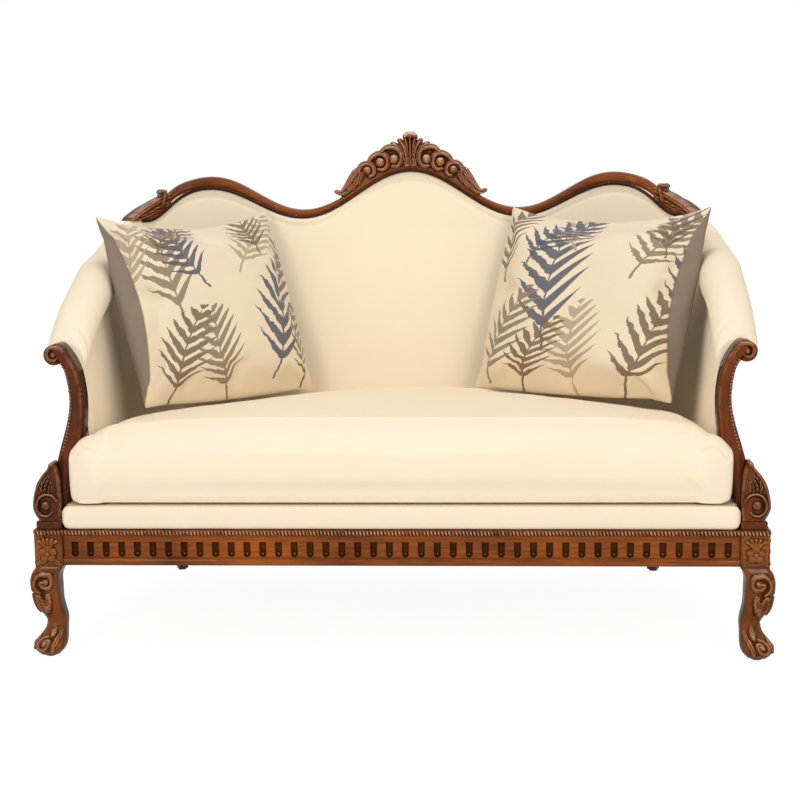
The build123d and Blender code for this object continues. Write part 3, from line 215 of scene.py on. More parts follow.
@dataclass(frozen=True)
class RailLine:
    """Serpentine top rail: heights as cosines between the arch, the valley and the outer peak."""

    plan: PlanLine = PlanLine()
    front: float = 0.098
    depth: float = 0.046
    arch: float = 1.044
    valley_x: float = 0.274
    valley: float = 0.929
    peak_x: float = 0.509
    peak: float = 1.005
    leaf_x: float = 0.622
    leaf_foot: float = 0.652
    end_x: float = 0.712
    end_fall: float = 0.078
    end_power: float = 2.4
    arch_thick: float = 0.014
    valley_thick: float = 0.019
    peak_thick: float = 0.029

    def underside(self, x: Array) -> Array:
        """Height of the rail's underside at a distance from the middle."""
        x = np.abs(np.asarray(x, float))
        inner = (self.arch + self.valley) / 2 + (self.arch - self.valley) / 2 * np.cos(
            math.pi * x / self.valley_x
        )
        phase = math.pi * (x - self.valley_x) / (self.peak_x - self.valley_x)
        outer = (self.peak + self.valley) / 2 - (self.peak - self.valley) / 2 * np.cos(phase)
        fall = (np.maximum(x - self.peak_x, 0) / (self.leaf_foot - self.peak_x)) ** self.end_power
        ease = np.maximum(0, 0.5 - np.abs(fall - 1))
        end = self.peak - self.end_fall * (np.minimum(fall, 1) - ease**2 / 2)
        return np.where(x <= self.valley_x, inner, np.where(x <= self.peak_x, outer, end))

    def thickness(self, x: Array) -> Array:
        """Height of the rail's section."""
        x = np.abs(np.asarray(x, float))
        inner = (1 - np.cos(math.pi * x / self.valley_x)) / 2
        inner = self.arch_thick + (self.valley_thick - self.arch_thick) * inner
        share = np.clip((x - self.valley_x) / (self.peak_x - self.valley_x), 0, 1)
        outer = (1 - np.cos(math.pi * share)) / 2
        outer = self.valley_thick + (self.peak_thick - self.valley_thick) * outer
        return np.where(x <= self.valley_x, inner, outer)

    def place(self, x: Array, out: Array, up: Array) -> Array:
        """Points in the rail's own section at station x.

        Args:
            x: station along the rail's middle line.
            out: distance outwards from the plan line.
            up: height above the rail's underside.

        Returns:
            (..., 3) array of points.
        """
        x, out, up = np.broadcast_arrays(np.asarray(x, float), out, up)
        middle = self.front + self.depth / 2
        radius = self.plan.radius + middle
        share = np.clip((np.abs(x) - self.plan.straight) / radius, 0, 1) * np.sign(x)
        ahead = np.sqrt(1 - share**2)
        y = self.plan.corner_y + radius * ahead
        step = out - middle
        return np.stack([x + share * step, y + ahead * step, self.underside(x) + up], axis=-1)


PLAN = PlanLine()
RAIL = RailLine()


class Mesh:
    """Vertices, quads and per-vertex values of one new piece, joined from patches."""

    def __init__(self) -> None:
        self.points: list[Array] = []
        self.quads: list[Array] = []
        self.carve: list[Array] = []
        self.uv: list[Array] = []
        self.slots: list[Array] = []
        self.count = 0

    def add(
        self,
        points: Array,
        quads: Array,
        carve: Array | None = None,
        uv: Array | None = None,
        slot: int = 0,
    ) -> None:
        """Joins loose vertices and quads.

        Args:
            points: (n, 3) vertices.
            quads: (m, 4) indices into points.
            carve: per-vertex carving value, from -1 in a recess to 1 on a ridge.
            uv: per-vertex pair for a printed pattern.
            slot: material slot of the quads.
        """
        size = len(points)
        self.points.append(np.asarray(points, float))
        self.quads.append(np.asarray(quads, int) + self.count)
        self.carve.append(np.zeros(size) if carve is None else np.asarray(carve, float).ravel())
        self.uv.append(np.zeros((size, 2)) if uv is None else np.asarray(uv, float).reshape(-1, 2))
        self.slots.append(np.full(len(quads), slot))
        self.count += size

    def grid(self, points: Array, close: bool = False, flip: bool = False, **values) -> None:
        """Joins a (rows, columns, 3) grid of points.

        Args:
            points: the grid.
            close: joins the last column to the first.
            flip: turns the faces over.
            values: carve, uv or slot, as for add.
        """
        rows, columns = points.shape[:2]
        index = np.arange(rows * columns).reshape(rows, columns)
        if close:
            index = np.concatenate([index, index[:, :1]], axis=1)
        corners = [index[:-1, :-1], index[:-1, 1:], index[1:, 1:], index[1:, :-1]]
        quads = np.stack(corners, axis=-1).reshape(-1, 4)
        self.add(points.reshape(-1, 3), quads[:, ::-1] if flip else quads, **values)

    def tube(
        self,
        path: Array,
        radius: Array | float,
        sides: int = 10,
        loop: bool = False,
        carve: float = 0.0,
    ) -> None:
        """Joins a round tube along a path, by frames carried along it without twist.

        Args:
            path: (n, 3) points.
            radius: one radius, or one for each point.
            sides: points round the tube.
            loop: whether the path closes.
            carve: carving value of the whole tube.
        """
        along = np.gradient(path, axis=0)
        along /= np.linalg.norm(along, axis=1, keepdims=True)
        seed = np.array([0.0, 0.0, 1.0]) if abs(along[0, 2]) < 0.9 else np.array([1.0, 0.0, 0.0])
        across = np.zeros_like(path)
        for i, way in enumerate(along):
            seed = seed - way * (seed @ way)
            seed = seed / np.linalg.norm(seed)
            across[i] = seed
        other = np.cross(along, across)
        angle = np.linspace(0, 2 * math.pi, sides, endpoint=False)
        ring = across[:, None] * np.cos(angle)[None, :, None] + other[:, None] * np.sin(angle)[None, :, None]
        size = np.broadcast_to(np.asarray(radius, float), (len(path),))
        points = path[:, None] + ring * size[:, None, None]
        if loop:
            points = np.concatenate([points, points[:1]])
        else:
            first, last = path[None, :1].repeat(sides, 1), path[None, -1:].repeat(sides, 1)
            points = np.concatenate([first, points, last])
        self.grid(points, close=True, flip=True, carve=np.full(points.shape[:2], carve))

    def build(self, name: str, finishes: Sequence["Finish"]) -> bpy.types.Object:
        """Makes the Blender object.

        Args:
            name: name of the piece.
            finishes: one for each material slot.

        Returns:
            The new object, at the origin.
        """
        points = np.concatenate(self.points)
        quads = np.concatenate(self.quads)
        mesh = bpy.data.meshes.new(name)
        mesh.vertices.add(len(points))
        mesh.vertices.foreach_set("co", points.astype(np.float32).ravel())
        mesh.loops.add(quads.size)
        mesh.loops.foreach_set("vertex_index", quads.astype(np.int32).ravel())
        mesh.polygons.add(len(quads))
        mesh.polygons.foreach_set("loop_start", np.arange(0, quads.size, 4, dtype=np.int32))
        mesh.polygons.foreach_set("material_index", np.concatenate(self.slots).astype(np.int32))
        mesh.polygons.foreach_set("use_smooth", np.ones(len(quads), bool))
        carve = mesh.attributes.new("carve", "FLOAT", "POINT")
        carve.data.foreach_set("value", np.concatenate(self.carve).astype(np.float32))
        layer = mesh.uv_layers.new(name="print")
        layer.data.foreach_set("uv", np.concatenate(self.uv)[quads.ravel()].astype(np.float32).ravel())
        mesh.validate()
        mesh.update()
        for finish in finishes:
            mesh.materials.append(finish.material())
        obj = bpy.data.objects.new(name, mesh)
        bpy.context.scene.collection.objects.link(obj)
        LOG.info("%s: %d vertices, %d quads", name, len(points), len(quads))
        return obj


class Val:
    """A shader socket with arithmetic."""

    def __init__(self, graph: "Graph", socket: bpy.types.NodeSocket) -> None:
        self.graph = graph
        self.socket = socket

    def __add__(self, other): return self.graph.math("ADD", self, other)

    def __radd__(self, other): return self.graph.math("ADD", other, self)

    def __sub__(self, other): return self.graph.math("SUBTRACT", self, other)

    def __rsub__(self, other): return self.graph.math("SUBTRACT", other, self)

    def __mul__(self, other): return self.graph.math("MULTIPLY", self, other)

    def __rmul__(self, other): return self.graph.math("MULTIPLY", other, self)

    def __truediv__(self, other): return self.graph.math("DIVIDE", self, other)

    def __rtruediv__(self, other): return self.graph.math("DIVIDE", other, self)

    def __pow__(self, other): return self.graph.math("POWER", self, other)

    def __neg__(self): return self.graph.math("MULTIPLY", self, -1.0)

    def __abs__(self): return self.graph.math("ABSOLUTE", self)

    def clamp(self, low: float = 0.0, high: float = 1.0) -> "Val":
        """Limits the value."""
        return self.graph.math("MINIMUM", self.graph.math("MAXIMUM", self, low), high)

    def smooth(self, low: float, high: float) -> "Val":
        """Smooth 0 to 1 ramp between low and high, which may be given high first."""
        node = self.graph.node("ShaderNodeMapRange", {"interpolation_type": "SMOOTHSTEP"})
        return self.graph.fill(node, {"Value": self, "From Min": low, "From Max": high}, "Result")


class Graph:
    """A material's node tree, with one way to add nodes."""

    def __init__(self, material: bpy.types.Material) -> None:
        material.use_nodes = True
        self.tree = material.node_tree
        self.shader = self.tree.nodes["Principled BSDF"]

    def node(self, kind: str, settings: dict | None = None) -> bpy.types.Node:
        """Adds a node and sets its options."""
        node = self.tree.nodes.new(kind)
        for key, value in (settings or {}).items():
            setattr(node, key, value)
        return node

    def fill(self, node: bpy.types.Node, inputs: dict, output: str | int) -> Val:
        """Sets or links a node's inputs.

        Args:
            node: the node.
            inputs: values or sockets by input name or number.
            output: name or number of the output to return.

        Returns:
            That output.
        """
        for key, value in inputs.items():
            if isinstance(value, Val):
                self.tree.links.new(value.socket, node.inputs[key])
            else:
                node.inputs[key].default_value = value
        return Val(self, node.outputs[output])

    def math(self, operation: str, a, b=0.0) -> Val:
        """One arithmetic node."""
        return self.fill(self.node("ShaderNodeMath", {"operation": operation}), {0: a, 1: b}, 0)

    def place(self) -> Val:
        """Position on the piece, in metres."""
        return Val(self, self.node("ShaderNodeTexCoord").outputs["Object"])

    def normal(self) -> Val:
        """Direction that the surface faces, in the piece's own axes."""
        return Val(self, self.node("ShaderNodeTexCoord").outputs["Normal"])

    def parts(self, vector: Val) -> tuple[Val, Val, Val]:
        """The three parts of a vector."""
        node = self.node("ShaderNodeSeparateXYZ")
        self.tree.links.new(vector.socket, node.inputs[0])
        return tuple(Val(self, node.outputs[i]) for i in range(3))

    def join(self, x, y, z) -> Val:
        """A vector from three parts."""
        return self.fill(self.node("ShaderNodeCombineXYZ"), {0: x, 1: y, 2: z}, 0)

    def stretch(self, vector: Val, scale: Point3) -> Val:
        """A vector with its parts multiplied."""
        node = self.node("ShaderNodeVectorMath", {"operation": "MULTIPLY"})
        return self.fill(node, {0: vector, 1: scale}, 0)

    def noise(self, vector: Val, scale: float, detail: float = 3.0, rough: float = 0.5) -> Val:
        """Noise between 0 and 1."""
        node = self.node("ShaderNodeTexNoise")
        return self.fill(node, {"Vector": vector, "Scale": scale, "Detail": detail, "Roughness": rough}, 0)

    def attribute(self, name: str) -> Val:
        """A per-vertex value of the mesh."""
        return Val(self, self.node("ShaderNodeAttribute", {"attribute_name": name}).outputs["Fac"])

    def mix(self, share, a, b) -> Val:
        """Mix of two colours."""
        node = self.node("ShaderNodeMix", {"data_type": "RGBA"})
        colours = [(*c, 1.0) if isinstance(c, tuple) else c for c in (a, b)]
        return self.fill(node, {0: share, 6: colours[0], 7: colours[1]}, 2)

    def bump(self, height: Val, strength: float, distance: float) -> Val:
        """A normal from heights."""
        node = self.node("ShaderNodeBump")
        return self.fill(node, {"Height": height, "Strength": strength, "Distance": distance}, 0)

    def surface(self, **inputs) -> None:
        """Sets the surface shader's inputs, with underscores for the spaces in their names."""
        self.fill(self.shader, {key.replace("_", " "): value for key, value in inputs.items()}, 0)


@dataclass(frozen=True)
class Finish:
    """A material that is made once and shared."""

    name: str

    def paint(self, graph: Graph) -> None:
        """Builds the nodes."""
        raise NotImplementedError

    def material(self) -> bpy.types.Material:
        """The shared material."""
        name = f"{self.name}_finish"
        found = bpy.data.materials.get(name)
        if found is None:
            found = bpy.data.materials.new(name)
            self.paint(Graph(found))
            LOG.info("finish %s", self.name)
        return found


@dataclass(frozen=True)
class Wood(Finish):
    """Polished red-brown wood: stretched noise for grain, painted shade in recesses, rubbed gilt on ridges.

    Painted light: the colour is lighter on the faces turned to the front and upwards, and the ridges that
    face upwards get a painted highlight.
    """

    grain: Point3 = (1.0, 14.0, 14.0)
    dark: Colour = (0.036, 0.007, 0.0015)
    light: Colour = (0.300, 0.078, 0.011)
    # Near-black colour of the painted shade in recesses.
    recess_shade: Colour = (0.010, 0.003, 0.001)
    gilt: Colour = (0.40, 0.20, 0.085)
    gilding: float = 0.0
    recess_shading: float = 0.8
    # Share of the painted light that makes faces turned to the front and upwards lighter.
    front_light: float = 0.65
    # Y behind which the flutes of a piece get the painted shade of a recess.
    recess_y: float | None = None
    rough: float = 0.32
    coat: float = 0.20
    gloss: float = 0.04
    # Strength of the painted highlight on ridges that face upwards.
    painted_highlight: float = 0.0
    # Pale colour of the painted highlight.
    highlight_colour: Colour = (0.66, 0.46, 0.34)

    def paint(self, graph: Graph) -> None:
        place = graph.place()
        streak = graph.noise(graph.stretch(place, self.grain), 11.0, 5.0, 0.62)
        pores = graph.noise(graph.stretch(place, self.grain), 60.0, 3.0, 0.6)
        cloud = graph.noise(place, 5.0, 2.0)
        _, ny, nz = graph.parts(graph.normal())
        # Painted light: faces turned to the front and upwards are lighter, faces turned sideways darker.
        front_lit = (nz * 0.35 - ny).smooth(0.05, 1.0)
        tone = (streak * 1.4 + cloud * 1.3 - 0.80).clamp() * (front_lit * self.front_light + (1.0 - self.front_light))
        colour = graph.mix(tone, self.dark, self.light)
        colour = graph.mix((pores - 0.62).smooth(0.0, 0.16) * 0.55, colour, self.dark)
        carve = graph.attribute("carve")
        # Painted shade: recesses of the carving, and the flutes behind recess_y, darken towards a near-black
        # colour.
        sunk = (-carve).smooth(0.12, 0.85)
        if self.recess_y is not None:
            _, y, _ = graph.parts(place)
            sunk = (sunk + (y - self.recess_y).smooth(0.0006, 0.0022)).clamp()
        colour = graph.mix(sunk * self.recess_shading, colour, self.recess_shade)
        worn = graph.noise(place, 70.0, 4.0, 0.6)
        bare = carve.smooth(0.30, 0.90) * (worn - 0.30).smooth(0.0, 0.3)
        colour = graph.mix((bare * self.gilding).clamp(), colour, self.gilt)
        # Painted highlight: ridges that face upwards turn a pale colour.
        lit = carve.smooth(0.05, 0.60) * (nz * 0.9 - ny * 0.35).smooth(0.55, 0.95)
        colour = graph.mix((lit * self.painted_highlight).clamp(), colour, self.highlight_colour)
        rough = self.rough + pores * 0.10 + sunk * 0.25
        graph.surface(
            Base_Color=colour,
            Roughness=rough.clamp(),
            Specular_IOR_Level=self.gloss,
            Coat_Weight=self.coat * (1.0 - sunk * 0.9),
            Coat_Roughness=0.06,
            Normal=graph.bump(pores * 0.5 + streak * 0.5, 0.10, 0.0006),
        )


@dataclass(frozen=True)
class PlainWood(Finish):
    """Sawn hidden frame wood."""

    colour: Colour = (0.42, 0.26, 0.13)

    def paint(self, graph: Graph) -> None:
        place = graph.place()
        streak = graph.noise(graph.stretch(place, (1.0, 9.0, 9.0)), 14.0, 4.0, 0.6)
        darker = tuple(c * 0.6 for c in self.colour)
        graph.surface(
            Base_Color=graph.mix(streak, darker, self.colour),
            Roughness=0.75,
            Normal=graph.bump(streak, 0.2, 0.001),
        )


@dataclass(frozen=True)
class Velvet(Finish):
    """Short cream pile: soft blotches where the pile lies differently, a fine weave and sheen."""

    pale: Colour = (0.93, 0.80, 0.615)
    deep: Colour = (0.87, 0.74, 0.555)
    weave: float = 900.0

    def paint(self, graph: Graph) -> None:
        place = graph.place()
        brushed = graph.noise(graph.stretch(place, (1.0, 1.0, 0.55)), 6.0, 3.0, 0.5)
        nap = graph.noise(graph.stretch(place, (1.0, 1.0, 2.2)), 160.0, 3.0, 0.55)
        fine = graph.noise(place, self.weave, 2.0, 0.6)
        tone = (brushed * 0.65 + nap * 0.30 + fine * 0.25 - 0.1).clamp()
        graph.surface(
            Base_Color=graph.mix(tone, self.deep, self.pale),
            Roughness=(0.78 + fine * 0.15).clamp(),
            Specular_IOR_Level=0.18,
            Sheen_Weight=0.15,
            Sheen_Roughness=0.45,
            Sheen_Tint=(1.0, 0.90, 0.75, 1.0),
            Normal=graph.bump(fine * 0.6 + nap * 0.4, 0.16, 0.0012),
        )


@dataclass(frozen=True)
class Linen(Finish):
    """Plain woven cloth: two crossed wave sets with uneven yarns."""

    colour: Colour = (0.165, 0.122, 0.092)
    yarn: float = 1500.0
    rough: float = 0.72

    def paint(self, graph: Graph) -> None:
        place = graph.place()
        slub = graph.noise(graph.stretch(place, (1.0, 1.0, 6.0)), 90.0, 3.0, 0.6)
        fine = graph.noise(place, self.yarn, 2.0, 0.6)
        darker = tuple(c * 0.72 for c in self.colour)
        graph.surface(
            Base_Color=graph.mix((slub * 0.6 + fine * 0.4).clamp(), darker, self.colour),
            Roughness=(self.rough + fine * 0.1).clamp(),
            Sheen_Weight=0.2,
            Sheen_Roughness=0.5,
            Normal=graph.bump(fine * 0.5 + slub * 0.5, 0.2, 0.001),
        )


@dataclass(frozen=True)
class Spray:
    """One printed leaf spray: foot of its stem, angle, length, spread and colour."""

    at: Point2
    angle: float
    length: float
    spread: float
    colour: Colour


@dataclass(frozen=True)
class PrintedSatin(Finish):
    """Cream satin printed with leaf sprays: paired leaves repeat along each curved stem."""

    ground: Colour = (0.82, 0.69, 0.50)
    sprays: tuple[Spray, ...] = ()
    outer: float = 1.0
    half: float = 0.236
    border: Colour = (0.22, 0.165, 0.12)

    def spray(self, graph: Graph, u: Val, v: Val, spray: Spray) -> Val:
        """Share of ink of one spray.

        With t along the stem and d across it, leaves are the places where the fractional part of
        9t - 4|d| / spread lies within a half width that shrinks to the spray's edge.

        Args:
            graph: the material.
            u: first print coordinate.
            v: second print coordinate.
            spray: the spray.

        Returns:
            Ink between 0 and 1.
        """
        turn = math.radians(spray.angle)
        du, dv = u - spray.at[0], v - spray.at[1]
        along = (du * math.sin(turn) + dv * math.cos(turn)) / spray.length
        across = (du * math.cos(turn) - dv * math.sin(turn)) - along * along * 0.06
        away = abs(across) / spray.spread
        reach = graph.math("SQRT", ((along - 0.18) * (1.08 - along) * 4.6).clamp())
        row = graph.math("FRACT", along * 8.0 - away * 2.2)
        leaf = 0.36 * (1.0 - (away / (reach + 0.001)) ** 2.0) - abs(row - 0.5)
        leaf = leaf.smooth(0.0, 0.05) * (reach - away).smooth(0.0, 0.05)
        stem = (0.0035 - abs(across) * (1.0 + along)).smooth(0.0, 0.0012)
        stem = stem * along.smooth(-0.02, 0.0) * along.smooth(1.02, 1.0)
        return graph.math("MAXIMUM", leaf, stem)

    def paint(self, graph: Graph) -> None:
        place = graph.place()
        uv = graph.node("ShaderNodeUVMap", {"uv_map": "print"})
        u, v, _ = graph.parts(Val(graph, uv.outputs[0]))
        ragged = graph.noise(graph.join(u, v, 0.0), 60.0, 2.0, 0.5)
        u2 = u + (ragged - 0.5) * 0.012
        v2 = v + (ragged - 0.5) * 0.012
        fine = graph.noise(place, 1300.0, 2.0, 0.6)
        cloud = graph.noise(place, 9.0, 2.0)
        darker = tuple(c * 0.86 for c in self.ground)
        colour = graph.mix((cloud * 0.7 + fine * 0.4).clamp(), darker, self.ground)
        ink_all = None
        for spray in self.sprays:
            ink = self.spray(graph, u2, v2, spray)
            colour = graph.mix(ink * 0.92, colour, spray.colour)
            ink_all = ink if ink_all is None else graph.math("MAXIMUM", ink_all, ink)
        height = v / self.half
        seam = u * self.outer / self.half - 1.0 + 0.15 * (1.0 - height * height)
        colour = graph.mix(seam.smooth(-0.004, 0.004), colour, self.border)
        colour = graph.mix((1.0 - abs(seam) / 0.012).clamp() * 0.5, colour, UMBER)
        graph.surface(
            Base_Color=colour,
            Roughness=(0.46 + fine * 0.12 + ink_all * 0.08).clamp(),
            Specular_IOR_Level=0.4,
            Sheen_Weight=0.2,
            Sheen_Roughness=0.4,
            Normal=graph.bump(fine, 0.12, 0.0008),
        )


@dataclass(frozen=True)
class Metal(Finish):
    """Zinc-plated steel."""

    def paint(self, graph: Graph) -> None:
        speck = graph.noise(graph.place(), 300.0, 3.0)
        zinc = graph.mix(speck, (0.4, 0.4, 0.42), (0.6, 0.6, 0.62))
        graph.surface(Base_Color=zinc, Metallic=1.0, Roughness=0.4)


@dataclass(frozen=True)
class Glide(Finish):
    """Dark moulded plastic."""

    def paint(self, graph: Graph) -> None:
        speck = graph.noise(graph.place(), 500.0, 3.0)
        graph.surface(
            Base_Color=graph.mix(speck, (0.010, 0.009, 0.008), (0.03, 0.027, 0.024)),
            Roughness=0.6,
            Normal=graph.bump(speck, 0.1, 0.0005),
        )


TAUPE: Colour = (0.235, 0.165, 0.110)
UMBER: Colour = (0.165, 0.100, 0.055)
SAND: Colour = (0.42, 0.31, 0.205)
SLATE: Colour = (0.065, 0.072, 0.105)

RAIL_WOOD = Wood("rail_wood", light=(0.285, 0.070, 0.010), dark=(0.075, 0.015, 0.003), rough=0.26)
# Near-black wood of the painted shadow line under the top rail.
RAIL_SHADOW_WOOD = Wood("rail_shadow_line_wood", light=(0.060, 0.012, 0.003), dark=(0.015, 0.004, 0.001), rough=0.26)
UPRIGHT_WOOD = Wood("upright_wood", grain=(14.0, 14.0, 1.0))
SIDE_WOOD = Wood("side_wood", grain=(14.0, 1.0, 14.0), front_light=0.0)
STUMP_WOOD = Wood(
    "stump_wood",
    grain=(12.0, 12.0, 1.5),
    light=(0.19, 0.040, 0.005),
    gilding=0.45,
    rough=0.22,
    front_light=0.8,
    painted_highlight=0.3,
)
CONSOLE_WOOD = Wood(
    "console_wood",
    grain=(8.0, 8.0, 2.0),
    light=(0.185, 0.042, 0.006),
    gilding=0.4,
    rough=0.22,
    front_light=0.8,
    painted_highlight=0.4,
)
CARVED_WOOD = Wood("carved_wood", grain=(6.0, 6.0, 2.0), gilding=0.45, painted_highlight=0.45)
CREST_WOOD = Wood(
    "crest_wood", grain=(6.0, 6.0, 2.0), gilding=0.6, recess_shading=0.75, rough=0.20, coat=0.9, painted_highlight=0.75
)
GILDED_WOOD = Wood(
    "gilded_wood", grain=(6.0, 6.0, 2.0), light=(0.33, 0.092, 0.013), gilding=0.6, recess_shading=0.7, painted_highlight=0.4
)
BEADED_WOOD = Wood("beaded_wood", grain=(6.0, 6.0, 2.0), gilding=0.9, gilt=(0.50, 0.33, 0.20))
# The flutes behind Y -0.370 get the painted shade of a recess.
FLUTED_WOOD = Wood("fluted_wood", light=(0.38, 0.096, 0.010), dark=(0.040, 0.008, 0.002), recess_y=-0.370)
ROSETTE_WOOD = Wood("rosette_wood", light=(0.42, 0.125, 0.017), gilding=0.8, recess_shading=0.75, coat=0.22)
HIDDEN_WOOD = PlainWood("hidden_wood")
CREAM = Velvet("cream_velvet")
BACK_CLOTH = Linen("taupe_linen")
LINING = Linen("lining_cloth", colour=(0.012, 0.012, 0.012))
JUTE = Linen("jute_webbing", colour=(0.30, 0.20, 0.10), yarn=700.0)
STEEL = Metal("bolt_steel")
GLIDE = Glide("glide_plastic")
LEFT_PRINT = PrintedSatin(
    "left_print",
    sprays=(
        Spray((0.10, -0.20), 8, 0.30, 0.085, SLATE),
        Spray((-0.10, -0.06), -14, 0.27, 0.080, TAUPE),
        Spray((-0.17, -0.235), 12, 0.22, 0.070, UMBER),
        Spray((0.05, 0.05), 26, 0.21, 0.070, SAND),
        Spray((0.19, -0.225), -6, 0.20, 0.060, UMBER),
        Spray((-0.205, 0.02), -4, 0.20, 0.062, SAND),
        Spray((0.205, 0.02), 4, 0.19, 0.055, TAUPE),
        Spray((-0.02, -0.235), -22, 0.19, 0.070, TAUPE),
        Spray((-0.03, 0.02), -34, 0.20, 0.070, SLATE),
        Spray((0.12, 0.10), -8, 0.16, 0.065, UMBER),
        Spray((-0.13, 0.11), 16, 0.15, 0.060, UMBER),
    ),
    outer=-1.0,
)
RIGHT_PRINT = PrintedSatin(
    "right_print",
    sprays=(
        Spray((-0.05, -0.13), -10, 0.30, 0.085, SLATE),
        Spray((0.12, -0.235), 10, 0.26, 0.080, UMBER),
        Spray((-0.19, -0.22), 6, 0.22, 0.070, TAUPE),
        Spray((0.10, 0.03), 20, 0.21, 0.075, TAUPE),
        Spray((-0.20, 0.03), -8, 0.20, 0.060, UMBER),
        Spray((0.215, -0.06), -3, 0.24, 0.050, SLATE),
        Spray((-0.02, 0.10), -30, 0.16, 0.060, SAND),
        Spray((0.02, -0.235), -20, 0.19, 0.070, SAND),
        Spray((-0.12, 0.06), 14, 0.19, 0.070, SLATE),
        Spray((0.17, 0.09), -12, 0.16, 0.062, UMBER),
        Spray((-0.11, -0.235), 4, 0.17, 0.060, UMBER),
    ),
)


def dress(piece: bpy.types.Object, body: Body, replaced: Sequence[str] = ()) -> bpy.types.Object:
    """Hands a finished piece to the frame.

    Args:
        piece: the new object.
        body: body that it moves with.
        replaced: CAD nodes that it stands for.

    Returns:
        The piece.
    """
    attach(piece, body.value)
    if replaced:
        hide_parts(*replaced)
    return piece


class Motif:
    """A carved form over a flat plane: where it covers the plane, and how high it stands."""

    def field(self, x: Array, z: Array) -> tuple[Array, Array]:
        """Cover and height.

        Args:
            x: first coordinate.
            z: second coordinate.

        Returns:
            Cover, which is the distance inside the motif's edge, and height above the ground.
        """
        raise NotImplementedError


def nearest(path: Array, x: Array, z: Array) -> tuple[Array, Array, Array]:
    """Share along a path, distance and signed distance of each point.

    Args:
        path: (n, 2) closely spaced points.
        x: first coordinates.
        z: second coordinates.

    Returns:
        Share from 0 to 1, distance, and distance with the sign of the path's left side.
    """
    flat = np.stack([x.ravel(), z.ravel()], axis=1)
    best = np.full(len(flat), np.inf)
    index = np.zeros(len(flat), int)
    for i, point in enumerate(path):
        square = ((flat - point) ** 2).sum(axis=1)
        closer = square < best
        best[closer] = square[closer]
        index[closer] = i
    way = np.gradient(path, axis=0)[index]
    off = flat - path[index]
    side = np.sign(way[:, 0] * off[:, 1] - way[:, 1] * off[:, 0])
    distance = np.sqrt(best).reshape(x.shape)
    share = (index / (len(path) - 1)).reshape(x.shape)
    return share, distance, distance * side.reshape(x.shape)


@dataclass(frozen=True)
class Boss(Motif):
    """Round knob: a dome over a disc."""

    at: Point2
    radius: float
    height: float
    edge: float = 0.0

    def field(self, x: Array, z: Array) -> tuple[Array, Array]:
        r = np.hypot(x - self.at[0], z - self.at[1])
        dome = np.sqrt(np.clip(1 - (r / self.radius) ** 2, 0, 1))
        return self.radius - r, self.edge + (self.height - self.edge) * dome


@dataclass(frozen=True)
class Plate(Motif):
    """Flat ground inside a polygon, with a rounded edge."""

    outline: tuple[Point2, ...]
    height: float
    bevel: float = 0.004

    def field(self, x: Array, z: Array) -> tuple[Array, Array]:
        corners = np.asarray(self.outline)
        following = np.roll(corners, -1, axis=0)
        distance = np.full(x.shape, np.inf)
        inside = np.zeros(x.shape, bool)
        for (ax, az), (bx, bz) in zip(corners, following):
            ex, ez = bx - ax, bz - az
            t = np.clip(((x - ax) * ex + (z - az) * ez) / (ex * ex + ez * ez + 1e-12), 0, 1)
            distance = np.minimum(distance, np.hypot(x - ax - t * ex, z - az - t * ez))
            crosses = (az > z) != (bz > z)
            inside ^= crosses & (x < ax + (z - az) / (bz - az + 1e-12) * ex)
        cover = np.where(inside, distance, -distance)
        rounded = np.sqrt(np.clip(1 - (1 - np.clip(cover / self.bevel, 0, 1)) ** 2, 0, 1))
        return cover, self.height * (0.4 + 0.6 * rounded)


class Profile(Enum):
    """Cross-section of a carved band."""

    ROUND = "round"
    RIM = "rim"


@dataclass(frozen=True)
class Band(Motif):
    """Moulded band along a path, with a width that changes along it; rim is 1 for a rim on its left."""

    path: Array
    widths: tuple[float, ...]
    height: float
    profile: Profile = Profile.ROUND
    rim: float = 1.0
    groove: float = 0.30

    def field(self, x: Array, z: Array) -> tuple[Array, Array]:
        share, distance, signed = nearest(self.path, x, z)
        width = np.interp(share, np.linspace(0, 1, len(self.widths)), self.widths)
        v = np.clip(self.rim * signed / width, -1, 1)
        shape = np.sqrt(1 - v**2 * 0.92)
        if self.profile is Profile.RIM:
            ridge = 0.22 * np.exp(-(((v - 0.80) / 0.14) ** 2))
            shape = shape * 0.85 - self.groove * np.exp(-(((v - 0.45) / 0.17) ** 2)) + ridge
        return width - distance, self.height * shape


@dataclass(frozen=True)
class Leaf(Motif):
    """Acanthus leaf along a spine: lobes slant forwards from a grooved midrib.

    The side named by plain, 1 for the left and -1 for the right, keeps an even edge and fine flutes.
    """

    spine: Array
    widths: tuple[float, ...]
    height: float
    lobes: float = 6.0
    plain: int = 0
    slant: float = 1.2

    def field(self, x: Array, z: Array) -> tuple[Array, Array]:
        share, distance, signed = nearest(self.spine, x, z)
        width = np.interp(share, np.linspace(0, 1, len(self.widths)), self.widths)
        u = distance / width
        wave = np.abs(np.sin(math.pi * (self.lobes * share - self.slant * np.clip(u, 0, 1.5))))
        even = signed * self.plain > 0
        edge = width * np.where(even, 1.0, 0.70 + 0.30 * wave**0.7)
        dome = np.sqrt(np.clip(1 - 0.8 * u**2, 0.05, 1))
        flutes = 0.74 + 0.26 * np.abs(np.cos(math.pi * 2.5 * u))
        groove = 1 - 0.35 * np.exp(-((distance / 0.0014) ** 2))
        return edge - distance, self.height * dome * np.where(even, flutes, 0.66 + 0.34 * wave**0.6) * groove


